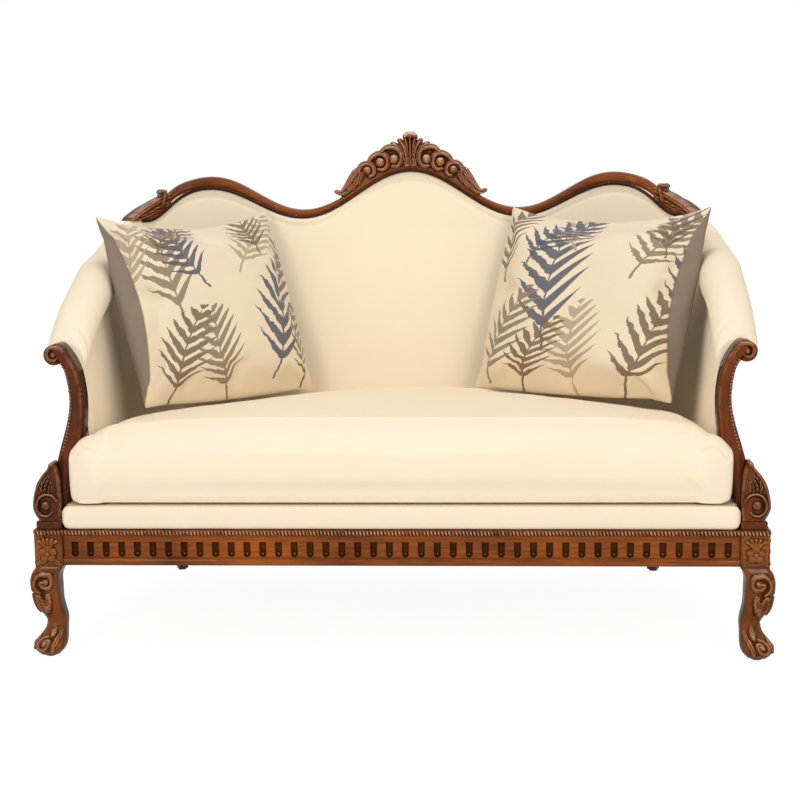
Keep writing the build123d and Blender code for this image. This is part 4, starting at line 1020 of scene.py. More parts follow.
def spiral(start: Point2, end: Point2, radii: Point2, begin: float, sweep: float, count: int = 110) -> Array:
    """Scroll whose centre moves and whose radius shrinks as it turns.

    Args:
        start: centre of the outer turn.
        end: centre of the eye.
        radii: first and last radius.
        begin: first angle in degrees.
        sweep: how far it turns in degrees.
        count: points.

    Returns:
        (count, 2) points.
    """
    t = np.linspace(0, 1, count)
    angle = np.radians(begin + sweep * t)
    r = radii[0] + (radii[1] - radii[0]) * t
    x = start[0] + (end[0] - start[0]) * t + r * np.cos(angle)
    z = start[1] + (end[1] - start[1]) * t + r * np.sin(angle)
    return np.stack([x, z], axis=1)


def flow(*points: Point2, count: int = 90) -> Array:
    """Smooth plane curve through points."""
    return through(np.asarray(points, float), count)


def highpass(height: Array, reach: int, scale: float) -> Array:
    """How far each height stands above its surroundings, as -1 to 1.

    Args:
        height: grid of heights.
        reach: half size of the averaging square, in cells.
        scale: height that counts as 1.

    Returns:
        Grid of the same shape.
    """
    mean = height
    for axis in (0, 1):
        padded = np.pad(mean, [(reach + 1, reach) if a == axis else (0, 0) for a in (0, 1)], mode="edge")
        total = np.cumsum(padded, axis=axis)
        size = 2 * reach + 1
        upper = np.take(total, range(size, total.shape[axis]), axis=axis)
        lower = np.take(total, range(0, total.shape[axis] - size), axis=axis)
        mean = (upper - lower) / size
    return np.clip((height - mean) / scale, -1, 1)


class Relief:
    """A carved panel: motifs laid over a fine grid, trimmed to their outline and given thickness."""

    def __init__(self, low: Point2, high: Point2, pitch: float = 0.001, symmetric: bool = False) -> None:
        xs = np.arange(low[0], high[0] + pitch / 2, pitch)
        zs = np.arange(low[1], high[1] + pitch / 2, pitch)
        self.pitch = pitch
        self.x, self.z = np.meshgrid(xs, zs)
        self.fold = np.abs(self.x) if symmetric else self.x
        self.cover = np.full(self.x.shape, -1.0)
        self.height = np.zeros(self.x.shape)

    def lay(self, *motifs: Motif) -> "Relief":
        """Adds motifs; the highest one shows."""
        for motif in motifs:
            cover, height = motif.field(self.fold, self.z)
            self.height = np.where(cover > 0, np.maximum(self.height, height), self.height)
            self.cover = np.maximum(self.cover, cover)
        return self

    def cut(self, keep: Array) -> "Relief":
        """Trims the panel to where keep is positive."""
        self.cover = np.minimum(self.cover, keep)
        return self

    def mesh(
        self, target: Mesh, place: Callable[[Array, Array, Array], Array], depth: float, reach: int = 7
    ) -> None:
        """Joins the panel to a mesh.

        Vertices just outside the outline slide onto it along the cover's gradient.

        Args:
            target: mesh that takes the panel.
            place: from (x, z, height) to points; a negative height lies behind the ground.
            depth: thickness behind the ground, closed by walls and a back.
            reach: half size, in cells, of the surroundings that tell ridges from recesses.
        """
        inside = self.cover > 0
        cells = inside[:-1, :-1] | inside[1:, :-1] | inside[:-1, 1:] | inside[1:, 1:]
        gz, gx = np.gradient(self.cover, self.pitch)
        size = np.maximum(gx**2 + gz**2, 0.2)
        slide = np.clip(np.where(inside, 0, -self.cover), 0, 1.5 * self.pitch) / size
        x, z = self.x + slide * gx, self.z + slide * gz
        grown = np.where(inside, self.height, 0)
        for axis in (0, 1):
            for step in (-1, 1):
                grown = np.maximum(grown, np.where(inside, 0, np.roll(grown, step, axis)))
        height = np.where(inside, self.height, grown)
        carve = highpass(height, reach, 0.0022)
        rows, columns = self.x.shape
        index = np.arange(rows * columns).reshape(rows, columns)
        quads = np.stack([index[:-1, :-1], index[:-1, 1:], index[1:, 1:], index[1:, :-1]], axis=-1)[cells]
        used, renamed = np.unique(quads, return_inverse=True)
        quads = renamed.reshape(-1, 4)
        flat = [a.ravel()[used] for a in (x, z, height, carve)]
        front = place(flat[0], flat[1], flat[2])
        back = place(flat[0], flat[1], np.full(len(used), -depth))
        count = len(used)
        edges = np.concatenate([quads[:, [i, (i + 1) % 4]] for i in range(4)])
        key = np.sort(edges, axis=1)
        _, first, times = np.unique(key, axis=0, return_index=True, return_counts=True)
        rim = edges[first[times == 1]]
        walls = np.stack([rim[:, 1], rim[:, 0], rim[:, 0] + count, rim[:, 1] + count], axis=1)
        every = np.concatenate([quads, quads[:, ::-1] + count, walls])
        values = np.concatenate([flat[3], np.full(count, -0.1)])
        target.add(np.concatenate([front, back]), every, carve=values)


@dataclass
class Camera:
    """Camera fitted to the photograph, in metres and degrees."""

    at: Point3 = (0.205, -3.581, 1.05)
    yaw: float = -3.48
    pitch: float = 8.57
    roll: float = -0.75
    focal: float = 1540.4
    width: int = 800

    def build(self) -> None:
        """Makes the scene's camera."""
        yaw, pitch, roll = (math.radians(a) for a in (self.yaw, self.pitch, self.roll))
        ahead = np.array([math.sin(yaw) * math.cos(pitch), math.cos(yaw) * math.cos(pitch), -math.sin(pitch)])
        right = np.array([math.cos(yaw), -math.sin(yaw), 0.0])
        up = np.cross(right, ahead)
        turned = right * math.cos(roll) + up * math.sin(roll)
        above = -right * math.sin(roll) + up * math.cos(roll)
        data = bpy.data.cameras.new("camera")
        data.sensor_width = 36.0
        data.lens = 36.0 * self.focal / self.width
        data.clip_end = 50.0
        obj = bpy.data.objects.new("camera", data)
        bpy.context.scene.collection.objects.link(obj)
        matrix = np.eye(4)
        matrix[:3, 0], matrix[:3, 1], matrix[:3, 2], matrix[:3, 3] = turned, above, -ahead, self.at
        obj.matrix_world = Matrix(matrix.tolist())
        bpy.context.scene.camera = obj


@dataclass
class Studio:
    """Plain pale floor, white surroundings and soft lights."""

    floor_half: float = 12.0
    key: float = 50.0
    fill: float = 46.0
    top: float = 24.0
    sky: float = 0.60

    def floor(self) -> None:
        """Pale floor that stays near white for the camera."""
        mesh = bpy.data.meshes.new("floor")
        h = self.floor_half
        mesh.from_pydata([(-h, -h, 0), (h, -h, 0), (h, h, 0), (-h, h, 0)], [], [(0, 1, 2, 3)])
        obj = bpy.data.objects.new("floor", mesh)
        bpy.context.scene.collection.objects.link(obj)
        material = bpy.data.materials.new("floor")
        graph = Graph(material)
        graph.surface(Base_Color=(0.9, 0.9, 0.9, 1.0), Roughness=0.9)
        glow = graph.node("ShaderNodeEmission")
        glow.inputs["Strength"].default_value = 1.2
        path = graph.node("ShaderNodeLightPath")
        blend = graph.node("ShaderNodeMixShader")
        seen = [Val(graph, path.outputs[f"Is {kind} Ray"]) for kind in ("Camera", "Glossy", "Transmission")]
        share = (seen[0] + seen[1] + seen[2]).clamp() * 0.76
        graph.tree.links.new(share.socket, blend.inputs[0])
        graph.tree.links.new(graph.shader.outputs[0], blend.inputs[1])
        graph.tree.links.new(glow.outputs[0], blend.inputs[2])
        graph.tree.links.new(blend.outputs[0], graph.tree.nodes["Material Output"].inputs[0])
        mesh.materials.append(material)

    def world(self) -> None:
        """White for the camera, softer light for everything else."""
        world = bpy.data.worlds.new("world")
        bpy.context.scene.world = world
        world.use_nodes = True
        tree = world.node_tree
        ground = tree.nodes["Background"]
        ground.inputs[0].default_value = (0.975, 0.985, 1.0, 1.0)
        ground.inputs[1].default_value = self.sky
        seen = tree.nodes.new("ShaderNodeBackground")
        seen.inputs[0].default_value = (1.0, 1.0, 1.0, 1.0)
        path = tree.nodes.new("ShaderNodeLightPath")
        share = path.outputs["Is Camera Ray"]
        for kind in ("Glossy", "Transmission"):
            total = tree.nodes.new("ShaderNodeMath")
            total.operation = "MAXIMUM"
            tree.links.new(share, total.inputs[0])
            tree.links.new(path.outputs[f"Is {kind} Ray"], total.inputs[1])
            share = total.outputs[0]
        blend = tree.nodes.new("ShaderNodeMixShader")
        tree.links.new(share, blend.inputs[0])
        tree.links.new(ground.outputs[0], blend.inputs[1])
        tree.links.new(seen.outputs[0], blend.inputs[2])
        tree.links.new(blend.outputs[0], tree.nodes["World Output"].inputs[0])

    def light(self, name: str, at: Point3, aim: Point3, size: Point2, power: float, colour: Colour) -> None:
        """One soft rectangular light."""
        data = bpy.data.lights.new(name, "AREA")
        data.shape = "RECTANGLE"
        data.size, data.size_y = size
        data.energy = power
        data.color = colour
        obj = bpy.data.objects.new(name, data)
        bpy.context.scene.collection.objects.link(obj)
        back = np.asarray(at, float) - np.asarray(aim, float)
        back /= np.linalg.norm(back)
        side = np.cross([0.0, 0.0, 1.0], back)
        side = side / np.linalg.norm(side) if np.linalg.norm(side) > 1e-6 else np.array([1.0, 0.0, 0.0])
        matrix = np.eye(4)
        matrix[:3, 0], matrix[:3, 1], matrix[:3, 2], matrix[:3, 3] = side, np.cross(back, side), back, at
        obj.matrix_world = Matrix(matrix.tolist())

    def build(self) -> None:
        """Makes the whole studio."""
        bpy.context.scene.view_settings.view_transform = "Standard"
        self.floor()
        self.world()
        warm = (1.0, 0.96, 0.90)
        self.light("key", (-1.7, -4.5, 2.5), (0, 0, 0.5), (1.1, 1.3), self.key, warm)
        self.light("fill", (1.9, -4.4, 1.9), (0, 0, 0.5), (1.2, 1.1), self.fill, warm)
        self.light("top", (0.0, -0.6, 3.4), (0, 0, 0.5), (2.2, 0.6), self.top, warm)


def arc(start: Array, middle: Array, end: Array, count: int) -> Array:
    """Circular arcs through three points each.

    Args:
        start: (..., 2) first points.
        middle: (..., 2) points on the way.
        end: (..., 2) last points.
        count: samples of each arc.

    Returns:
        (..., count, 2) array.
    """
    p, q = middle - start, end - start
    cross = 2 * (p[..., 0] * q[..., 1] - p[..., 1] * q[..., 0])
    cross = np.where(np.abs(cross) < 1e-9, 1e-9, cross)
    p2, q2 = (p**2).sum(-1), (q**2).sum(-1)
    hub = np.stack([q[..., 1] * p2 - p[..., 1] * q2, p[..., 0] * q2 - q[..., 0] * p2], axis=-1)
    hub = hub / cross[..., None]
    angles = [np.arctan2(v[..., 1], v[..., 0]) for v in (-hub, p - hub, q - hub)]
    first, second = (np.angle(np.exp(1j * (a - angles[0]))) for a in angles[1:])
    beyond = (np.sign(second) != np.sign(first)) | (np.abs(second) < np.abs(first))
    sweep = np.where(beyond, second + 2 * math.pi * np.sign(first), second)
    at = angles[0][..., None] + sweep[..., None] * np.linspace(0, 1, count)
    radius = np.linalg.norm(hub, axis=-1)[..., None, None]
    ring = np.stack([np.cos(at), np.sin(at)], axis=-1)
    return (start + hub)[..., None, :] + radius * ring


@dataclass(frozen=True)
class WallCut:
    """Section of the padded wall: run along the plan line, and (outwards, up) points."""

    run: float
    belly: Point2
    shoulder: Point2
    crown: Point2
    tip: Point2
    head: Point2
    waist: Point2

    def row(self) -> Array:
        """The points as one array."""
        return np.array([self.belly, self.shoulder, self.crown, self.tip, self.head, self.waist])


@dataclass
class Upholstery:
    """Fixed upholstery: the padded inside of back and arms, the outside covers, the deck and its welts."""

    foot: float = 0.338
    arm_height: float = 0.684
    rail_top: float = 0.286
    cover_foot: float = 0.098
    welt: float = 0.0042
    tuck: float = 0.024
    cap: float = 0.020
    hub: Point2 = (0.060, 0.640)
    round_off: float = 0.007
    stations: int = 420
    rows: int = 120
    tail_rows: int = 14

    def arm_cut(self, run: float, rise: float, outs: Point3, head: Point2, waist: Point2) -> WallCut:
        """A cut through the rolled arm, raised by rise above the height of its front."""
        top = self.arm_height + 0.003 + rise
        middle = (self.foot + self.arm_height) / 2
        belly, shoulder, crown = outs
        return WallCut(
            run,
            (belly, middle + rise / 4),
            (shoulder, top - 0.075 - rise / 8),
            (crown, top),
            (crown + 0.037, top - 0.032),
            (head[0], self.arm_height + rise + head[1]),
            (waist[0], middle + waist[1]),
        )

    def cuts(self) -> list[WallCut]:
        """All cuts, from the middle of the back to the front of the arm."""
        arm = PLAN.length - PLAN.arm_start
        corner = (PLAN.straight + PLAN.arm_start) / 2
        flat = WallCut(
            0.0, (0.050, 0.6335), (0.090, 0.900), (0.098, 1.0005),
            (0.102, 1.090), (0.138, 1.090), (0.117, 0.6335),
        )
        turned = WallCut(
            corner, (0.040, 0.600), (0.076, 0.800), (0.090, 0.880),
            (0.100, 0.932), (0.136, 0.926), (0.112, 0.600),
        )
        return [
            flat,
            WallCut(PLAN.straight, *map(tuple, flat.row())),
            turned,
            self.arm_cut(
                PLAN.arm_start, 0.158,
                (0.018, 0.042, 0.075), (0.083, -0.084), (0.084, 0.029),
            ),
            self.arm_cut(
                PLAN.length - 0.66 * arm, 0.119,
                (0.012, 0.034, 0.070), (0.074, -0.082), (0.072, 0.009),
            ),
            self.arm_cut(
                PLAN.length - 0.32 * arm, 0.068,
                (0.007, 0.026, 0.066), (0.066, -0.076), (0.060, -0.011),
            ),
            self.arm_cut(
                PLAN.length, 0.0,
                (0.005, 0.017, 0.060), (0.048, -0.046), (0.032, -0.031),
            ),
        ]

    def controls(self, run: Array) -> Array:
        """Section points at absolute runs: a smooth step to the corner, then a spline along the arm.

        Args:
            run: (n,) absolute runs.

        Returns:
            (n, 6, 2) array.
        """
        cuts = self.cuts()
        flat, turned = cuts[1], cuts[2]
        share = smoothstep(flat.run, turned.run, run)[:, None, None]
        back = flat.row() * (1 - share) + turned.row() * share
        knots = [c.run for c in cuts[2:]]
        arm = Curve(knots, [c.row().ravel() for c in cuts[2:]])(run).reshape(-1, 6, 2)
        return np.where((run < turned.run)[:, None, None], back, arm)

    def sections(self, run: Array) -> Array:
        """Face, roll and tucked edge at each run.

        Args:
            run: (n,) absolute runs.

        Returns:
            (n, rows + tail_rows, 2) array of (outwards, up).
        """
        belly, shoulder, crown, tip, head, _ = np.moveaxis(self.controls(run), 1, 0)
        foot = np.broadcast_to([0.0, self.foot], belly.shape)
        face = np.concatenate([arc(foot, belly, shoulder, 80), arc(shoulder, crown, tip, 80)[:, 1:]], axis=1)
        corner = self.cuts()[2].run
        x = PLAN.place(np.minimum(run, corner), 0.100, 0.0)[:, 0]
        free = smoothstep(corner, corner + 0.05, run)
        limit = RAIL.underside(x) - 0.001 + free * 0.03
        under = smoothstep(corner + 0.01, PLAN.arm_start, run)
        found = np.empty((len(run), self.rows + self.tail_rows, 2))
        for i, line in enumerate(face):
            over = np.nonzero(line[:, 1] > limit[i])[0]
            if run[i] < corner + 0.05 and len(over):
                line = line[: over[0] + 1]
            length = np.concatenate([[0], np.cumsum(np.linalg.norm(np.diff(line, axis=0), axis=1))])
            at = np.linspace(0, length[-1], self.rows)
            base = np.stack([np.interp(at, length, line[:, k]) for k in (0, 1)], axis=-1)
            way = base[-1] - base[-2]
            way = way / np.linalg.norm(way)
            goal = (base[-1] + [self.tuck, 0.003]) * (1 - under[i]) + head[i] * under[i]
            bend = base[-1] + way * (0.004 * (1 - under[i]) + 0.030 * under[i])
            t = np.linspace(0, 1, self.tail_rows + 1)[1:, None]
            tail = base[-1] * (1 - t) ** 2 + 2 * bend * t * (1 - t) + goal * t**2
            found[i] = np.concatenate([base, tail])
        return found

    def both_sides(self, section: Array, run: Array) -> tuple[Array, Array]:
        """Mirrors sections of the right half and places them along the plan line.

        Args:
            section: (n, rows, 2) sections from the middle of the back.
            run: their runs.

        Returns:
            (2n - 1, rows, 3) surface and its signed runs.
        """
        whole = np.concatenate([section[::-1], section[1:]])
        runs = np.concatenate([-run[::-1], run[1:]])
        return PLAN.place(runs[:, None], whole[..., 0], whole[..., 1]), runs

    def inside(self) -> None:
        """Padded inside of the left arm, the back and the right arm, as one sewn cover."""
        run = np.linspace(0, PLAN.length, self.stations // 2)
        section = self.sections(run)
        surface, runs = self.both_sides(section, run)
        surface = self.relax(surface, runs)
        mesh = Mesh()
        mesh.grid(surface, flip=True)
        edge = surface[-1, : self.rows]
        hub = np.array([PLAN.half + self.hub[0], PLAN.front, self.hub[1]])
        rolled = smoothstep(self.hub[1] - 0.05, self.hub[1] - 0.02, edge[:, 2])[:, None]
        inner = (edge + np.array([self.cap, 0.0, 0.0])) * (1 - rolled) + hub * rolled
        for sign in (-1, 1):
            mesh.grid(np.stack([edge, inner]) * np.array([sign, 1, 1]), flip=sign > 0)
        piece = mesh.build("inside_upholstery", [CREAM])
        dress(piece, Body.FRAME, ("inside_back", "inside_arm_left", "inside_arm_right"))

    def relax(self, surface: Array, runs: Array) -> Array:
        """Uneven stuffing and the pulled crease behind each arm's scroll.

        Args:
            surface: (stations, rows, 3) grid.
            runs: signed run of each station.

        Returns:
            The moved grid.
        """
        along = np.gradient(surface, axis=0)
        up = np.gradient(surface, axis=1)
        normal = np.cross(along, up)
        normal /= np.linalg.norm(normal, axis=-1, keepdims=True) + 1e-9
        soft = value_noise(surface, 3.5, 3) * 0.0016 + value_noise(surface, 9.0, 5) * 0.0007
        row = np.arange(surface.shape[1])[None, :]
        share = row / (self.rows - 1)
        edge = smoothstep(0.0, 0.12, share) * smoothstep(1.02, 0.90, share)
        length = np.cumsum(np.linalg.norm(up, axis=-1), axis=1)
        below = length[:, self.rows - 1 : self.rows] - length
        flat = smoothstep(0.70, 0.60, np.abs(runs))[:, None]
        raised = 0.0016 * np.exp(-(((below - 0.009) / 0.006) ** 2))
        sunken = 0.0022 * np.exp(-(((below - 0.020) / 0.0028) ** 2))
        border = (raised - sunken) * flat
        front = (PLAN.length - np.abs(runs))[:, None]
        lean = front - 0.012 - 0.16 * np.clip(share - 0.62, 0, 1)
        part = smoothstep(0.58, 0.66, share) * smoothstep(0.92, 0.84, share)
        crease = -0.0035 * np.exp(-((lean / 0.0045) ** 2)) * part
        end = np.clip(1 - front / 0.024, 0, 1)
        rounded = -(self.round_off + 0.009 * smoothstep(0.80, 1.0, share)) * (1 - np.sqrt(1 - end**2))
        push = (soft * edge + crease + border + rounded)[..., None]
        return surface + normal * push

    def rolls(self) -> None:
        """Wooden roll inside each padded arm."""
        run = np.linspace(PLAN.arm_start + 0.004, PLAN.length - 0.002, 60)
        crown = self.controls(run)[:, 2]
        for side in Side:
            path = PLAN.place(side.value * run, crown[:, 0] - 0.003, crown[:, 1] - 0.032)
            mesh = Mesh()
            mesh.tube(path, 0.021, 24)
            piece = mesh.build(f"arm_roll_{side.word}_core", [HIDDEN_WOOD])
            dress(piece, Body.FRAME, (f"arm_roll_{side.word}",))

    def outside(self) -> None:
        """Taut outside covers of the arms and the back."""
        run = np.linspace(0, PLAN.length, self.stations // 2)
        points = self.controls(run)
        head, waist = points[:, 4], points[:, 5]
        corner = self.cuts()[2].run
        x = PLAN.place(np.minimum(run, corner), 0.125, 0.0)[:, 0]
        limit = RAIL.underside(x) + 0.003
        foot = np.broadcast_to([self.cover_foot, self.rail_top], head.shape)
        section = arc(foot, waist, head, 60)
        under_rail = np.minimum(section[..., 1], limit[:, None])
        section[..., 1] = np.where((run < corner)[:, None], under_rail, section[..., 1])
        surface, _ = self.both_sides(section, run)
        mesh = Mesh()
        mesh.grid(surface)
        low = surface[:, 0] + np.array([0.0, 0.0, self.welt])
        mesh.tube(low, self.welt, 8)
        mesh.tube(surface[:, -1], 0.006, 8)
        piece = mesh.build("outside_covers", [CREAM])
        dress(piece, Body.FRAME, ("outside_back", "outside_arm_left", "outside_arm_right"))

    def rail_shadow_line(self) -> None:
        """Dark bead along the underside of the top rail, against the padding; its near-black colour is a
        painted shadow line where the rail meets the padding.
        """
        x = np.linspace(-0.690, 0.690, 420)
        path = RAIL.place(x, RAIL.front - 0.0040, -0.0004)
        mesh = Mesh()
        mesh.tube(path, 0.0040, 10)
        piece = mesh.build("rail_shadow_line", [RAIL_SHADOW_WOOD])
        dress(piece, Body.FRAME)

    def deck(self) -> None:
        """Deck under the cushion: a soft border roll in front and a flat platform behind it."""
        low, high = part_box("seat_deck")
        half, bottom, top = high[0], low[2], high[2]
        front, back = low[1] + 0.001, -0.357
        count = 260
        x = np.linspace(-1, 1, count)
        end = np.clip((np.abs(x) - 0.975) / 0.025, 0, 1)
        shrink = np.sqrt(np.clip(1 - end**2, 0, 1)) * 0.5 + 0.5
        angle = np.linspace(0, 2 * math.pi, 64, endpoint=False)
        power = 0.42
        cos = np.sign(np.cos(angle)) * np.abs(np.cos(angle)) ** power
        sin = np.sign(np.sin(angle)) * np.abs(np.sin(angle)) ** power
        middle_y, middle_z = (front + back) / 2, (bottom + top) / 2
        y = middle_y + (back - front) / 2 * cos[None, :] * shrink[:, None]
        z = middle_z + (top - bottom) / 2 * sin[None, :] * shrink[:, None]
        points = np.stack([np.broadcast_to((x * half)[:, None], y.shape), y, z], axis=-1)
        ripple = value_noise(points, 5.0, 11) * 0.0010
        ripple = ripple + value_noise(points * np.array([1.0, 0.3, 0.3]), 14.0, 12) * 0.0006
        points[..., 1] += np.where(cos[None, :] < 0, ripple, 0) + 0.001
        cap = points.mean(axis=1, keepdims=True)
        points = np.concatenate([cap[:1].repeat(64, 1), points, cap[-1:].repeat(64, 1)])
        mesh = Mesh()
        mesh.grid(points, close=True, flip=True)
        run = np.linspace(-PLAN.length, PLAN.length, 200)
        rim = PLAN.place(run, -0.0008, top - 0.004)
        line = np.stack([rim[:, 0] * 0.97, np.full(len(rim), PLAN.front), rim[:, 2]], axis=-1)
        rings = [rim - np.array([0, 0, 0.03]), rim]
        for share in (0.02, 0.06, 0.3, 0.65, 1.0):
            ring = rim + (line - rim) * np.array([share, share, 0.0])
            ring[:, 2] = top - 0.0006 - 0.0034 * max(0, 1 - share / 0.06)
            rings.append(ring)
        mesh.grid(np.stack(rings), flip=True)
        wide = half - 0.006
        across = np.linspace(-wide, wide, 60)
        level = np.full(60, top - 0.001)
        edges = (back - 0.004, PLAN.front + 0.002)
        neck = np.stack([np.stack([across, np.full(60, y_edge), level], axis=-1) for y_edge in edges])
        mesh.grid(neck)
        piece = mesh.build("seat_deck_cover", [CREAM])
        dress(piece, Body.FRAME, ("seat_deck",))

    def lining(self) -> None:
        """Lining cloth stapled under the frame, sagging a little between the rails."""
        low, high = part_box("dust_cover")
        u, v = np.meshgrid(np.linspace(-1, 1, 60), np.linspace(-1, 1, 40))
        half_x, half_y = 0.700, (high[1] - low[1]) / 2 - 0.01
        sag = 0.006 * (1 - u**2) * (1 - v**2)
        x = u * half_x * (1 - 0.12 * np.clip(v, 0, 1) ** 4)
        points = np.stack([x, (low[1] + high[1]) / 2 + v * half_y, low[2] - sag], axis=-1)
        mesh = Mesh()
        mesh.grid(points, flip=True)
        piece = mesh.build("lining_sheet", [LINING])
        dress(piece, Body.FRAME, ("dust_cover",))

    def build(self) -> None:
        """Makes all the fixed upholstery."""
        self.inside()
        self.rolls()
        self.outside()
        self.rail_shadow_line()
        self.deck()
        self.lining()


class Cloth:
    """Blows up closed meshes with Blender's cloth."""

    @staticmethod
    def inflate(
        obj: bpy.types.Object, pressure: float, frames: int, cap: float, stiffness: float = 15.0
    ) -> None:
        """Runs the cloth and keeps the result.

        Args:
            obj: closed mesh object.
            pressure: inner pressure.
            frames: steps.
            cap: furthest that a point may move.
            stiffness: tension stiffness.
        """
        scene = bpy.context.scene
        mesh = obj.data
        count = len(mesh.vertices)
        before = np.empty(count * 3, np.float32)
        mesh.vertices.foreach_get("co", before)
        modifier = obj.modifiers.new("cloth", "CLOTH")
        settings = modifier.settings
        settings.use_pressure = True
        settings.uniform_pressure_force = pressure
        settings.tension_stiffness = stiffness
        settings.compression_stiffness = stiffness
        settings.shear_stiffness = stiffness / 3
        settings.bending_stiffness = 0.6
        settings.quality = 6
        settings.mass = 0.3
        settings.effector_weights.gravity = 0.0
        modifier.point_cache.frame_start = 1
        modifier.point_cache.frame_end = frames
        for step in range(1, frames + 1):
            scene.frame_set(step)
        shown = obj.evaluated_get(bpy.context.evaluated_depsgraph_get())
        after = np.empty(count * 3, np.float32)
        shown.data.vertices.foreach_get("co", after)
        obj.modifiers.remove(modifier)
        scene.frame_set(1)
        move = (after - before).reshape(-1, 3)
        far = np.linalg.norm(move, axis=1, keepdims=True)
        move *= np.minimum(1, cap / np.maximum(far, 1e-9))
        mesh.vertices.foreach_set("co", (before.reshape(-1, 3) + move).ravel())
        mesh.update()
        LOG.info("%s: cloth moved up to %.1f mm", obj.name, float(far.max()) * 1000)


CROWN_HEIGHT = 0.183
CROWN_FALL = 0.028
EAR_START = 0.664
EAR_WIDTH = 0.047
EAR_FALL = 0.030


@dataclass
class SeatCushion:
    """Loose T-shaped seat cushion, swollen from its CAD filling."""

    voxel: float = 0.006
    pressure: float = 3.0
    cap: float = 0.006

    def build(self) -> None:
        """Copies the filling, remeshes it, blows it up and softens it."""
        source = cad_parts["seat_cushion_core"]
        mesh = source.data.copy()
        mesh.name = "cushion_cover"
        mesh.materials.clear()
        obj = bpy.data.objects.new("cushion_cover", mesh)
        bpy.context.scene.collection.objects.link(obj)
        remesh = obj.modifiers.new("remesh", "REMESH")
        remesh.mode = "VOXEL"
        remesh.voxel_size = self.voxel
        remesh.use_smooth_shade = True
        smooth = obj.modifiers.new("smooth", "SMOOTH")
        smooth.factor = 0.5
        smooth.iterations = 6
        self.apply(obj)
        self.round_ears(obj)
        Cloth.inflate(obj, self.pressure, 16, self.cap)
        self.crease(obj)
        obj.data.materials.append(CREAM.material())
        subdivide = obj.modifiers.new("subdivide", "SUBSURF")
        subdivide.levels = subdivide.render_levels = 1
        nodes = ("seat_cushion_core", "seat_cushion_cover_top", "seat_cushion_cover_bottom")
        dress(obj, Body.CUSHION, nodes)
        LOG.info("seat cushion: %d vertices", len(obj.data.vertices))

    @staticmethod
    def apply(obj: bpy.types.Object) -> None:
        """Replaces the mesh by its modified form."""
        shown = obj.evaluated_get(bpy.context.evaluated_depsgraph_get())
        mesh = bpy.data.meshes.new_from_object(shown)
        obj.modifiers.clear()
        old = obj.data
        obj.data = mesh
        bpy.data.meshes.remove(old)
        mesh.polygons.foreach_set("use_smooth", np.ones(len(mesh.polygons), bool))

    @staticmethod
    def ear_drop(x: Array) -> Array:
        """Drop of the ears at a distance x from the middle."""
        return EAR_FALL * np.clip((x - EAR_START) / EAR_WIDTH, 0, 1) ** 2

    @staticmethod
    def crown(x: Array) -> Array:
        """Height of the filling at a distance x from the middle."""
        fall = CROWN_FALL * np.minimum(x / EAR_START, 1) ** 3
        return CROWN_HEIGHT - fall - SeatCushion.ear_drop(x)

    @staticmethod
    def settle(points: Array, low: float) -> Array:
        """Heights of the cover once it has settled: full along the front, falling to the sides and the back.

        Args:
            points: (n, 3) points of the cover.
            low: height of the underside.

        Returns:
            The new heights.
        """
        x, y, z = np.abs(points[:, 0]), points[:, 1], points[:, 2]
        back = smoothstep(-0.34, -0.10, y)
        full = CROWN_HEIGHT - CROWN_FALL * np.minimum(x / EAR_START, 1) ** 3 * back
        inward = np.clip(0.667 - x, 0, None)
        slope = 0.19 * np.minimum(inward, 0.067) + 0.125 * np.clip(inward - 0.067, 0, None)
        most = 0.471 - 0.10 * np.maximum(y, -0.29) + slope - low - 0.004
        soft = 0.005
        held = -soft * np.logaddexp(-full / soft, -most / soft)
        held -= SeatCushion.ear_drop(x)
        ratio = held / SeatCushion.crown(x)
        share = (z - low) / SeatCushion.crown(x)
        return low + (z - low) * (1 + (ratio - 1) * smoothstep(0.15, 0.85, share))

    @staticmethod
    def round_ears(obj: bpy.types.Object) -> None:
        """Carries the rounded front edge of the cushion across its ears, and drops their outer ends."""
        mesh = obj.data
        points = np.empty(len(mesh.vertices) * 3, np.float32)
        mesh.vertices.foreach_get("co", points)
        points = points.reshape(-1, 3).astype(float)
        low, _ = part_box("seat_cushion_core")
        x = np.abs(points[:, 0])
        past = points[:, 1] - low[1]
        height = SeatCushion.crown(x)
        edge = arc(np.array([0.005, -0.051]), np.array([0.027, -0.019]), np.array([0.090, -0.010]), 60)
        limit = low[2] + height + np.interp(past, edge[:, 0], edge[:, 1])
        over = (x > 0.56) & (past > 0.004) & (past < 0.088) & (points[:, 2] > limit)
        points[:, 2] = np.where(over, limit, points[:, 2])
        mesh.vertices.foreach_set("co", points.astype(np.float32).ravel())
        mesh.update()

    @staticmethod
    def crease(obj: bpy.types.Object) -> None:
        """Adds the lower seam along the front and a few soft hollows."""
        mesh = obj.data
        points = np.empty(len(mesh.vertices) * 3, np.float32)
        mesh.vertices.foreach_get("co", points)
        points = points.reshape(-1, 3).astype(float)
        normals = np.empty(len(mesh.vertices) * 3, np.float32)
        mesh.vertices.foreach_get("normal", normals)
        normals = normals.reshape(-1, 3)
        soft = value_noise(points, 3.0, 21) * 0.0020
        soft = soft + value_noise(points * np.array([2.2, 0.6, 0.5]), 6.0, 22) * 0.0012
        front = smoothstep(-0.2, -0.36, points[:, 1])
        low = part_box("seat_cushion_core")[0][2]
        seam = np.exp(-(((points[:, 2] - low - 0.012) / 0.005) ** 2)) * front
        above = smoothstep(low + 0.004, low + 0.03, points[:, 2])
        points += normals * (soft * above - 0.0035 * seam)[:, None]
        points[:, 2] = SeatCushion.settle(points, low)
        tight = np.clip((points[:, 2] - low) / 0.025, 0, 1)
        points[:, 2] -= 0.025 * (tight - tight**1.8) * front
        mesh.vertices.foreach_set("co", points.astype(np.float32).ravel())
        mesh.update()


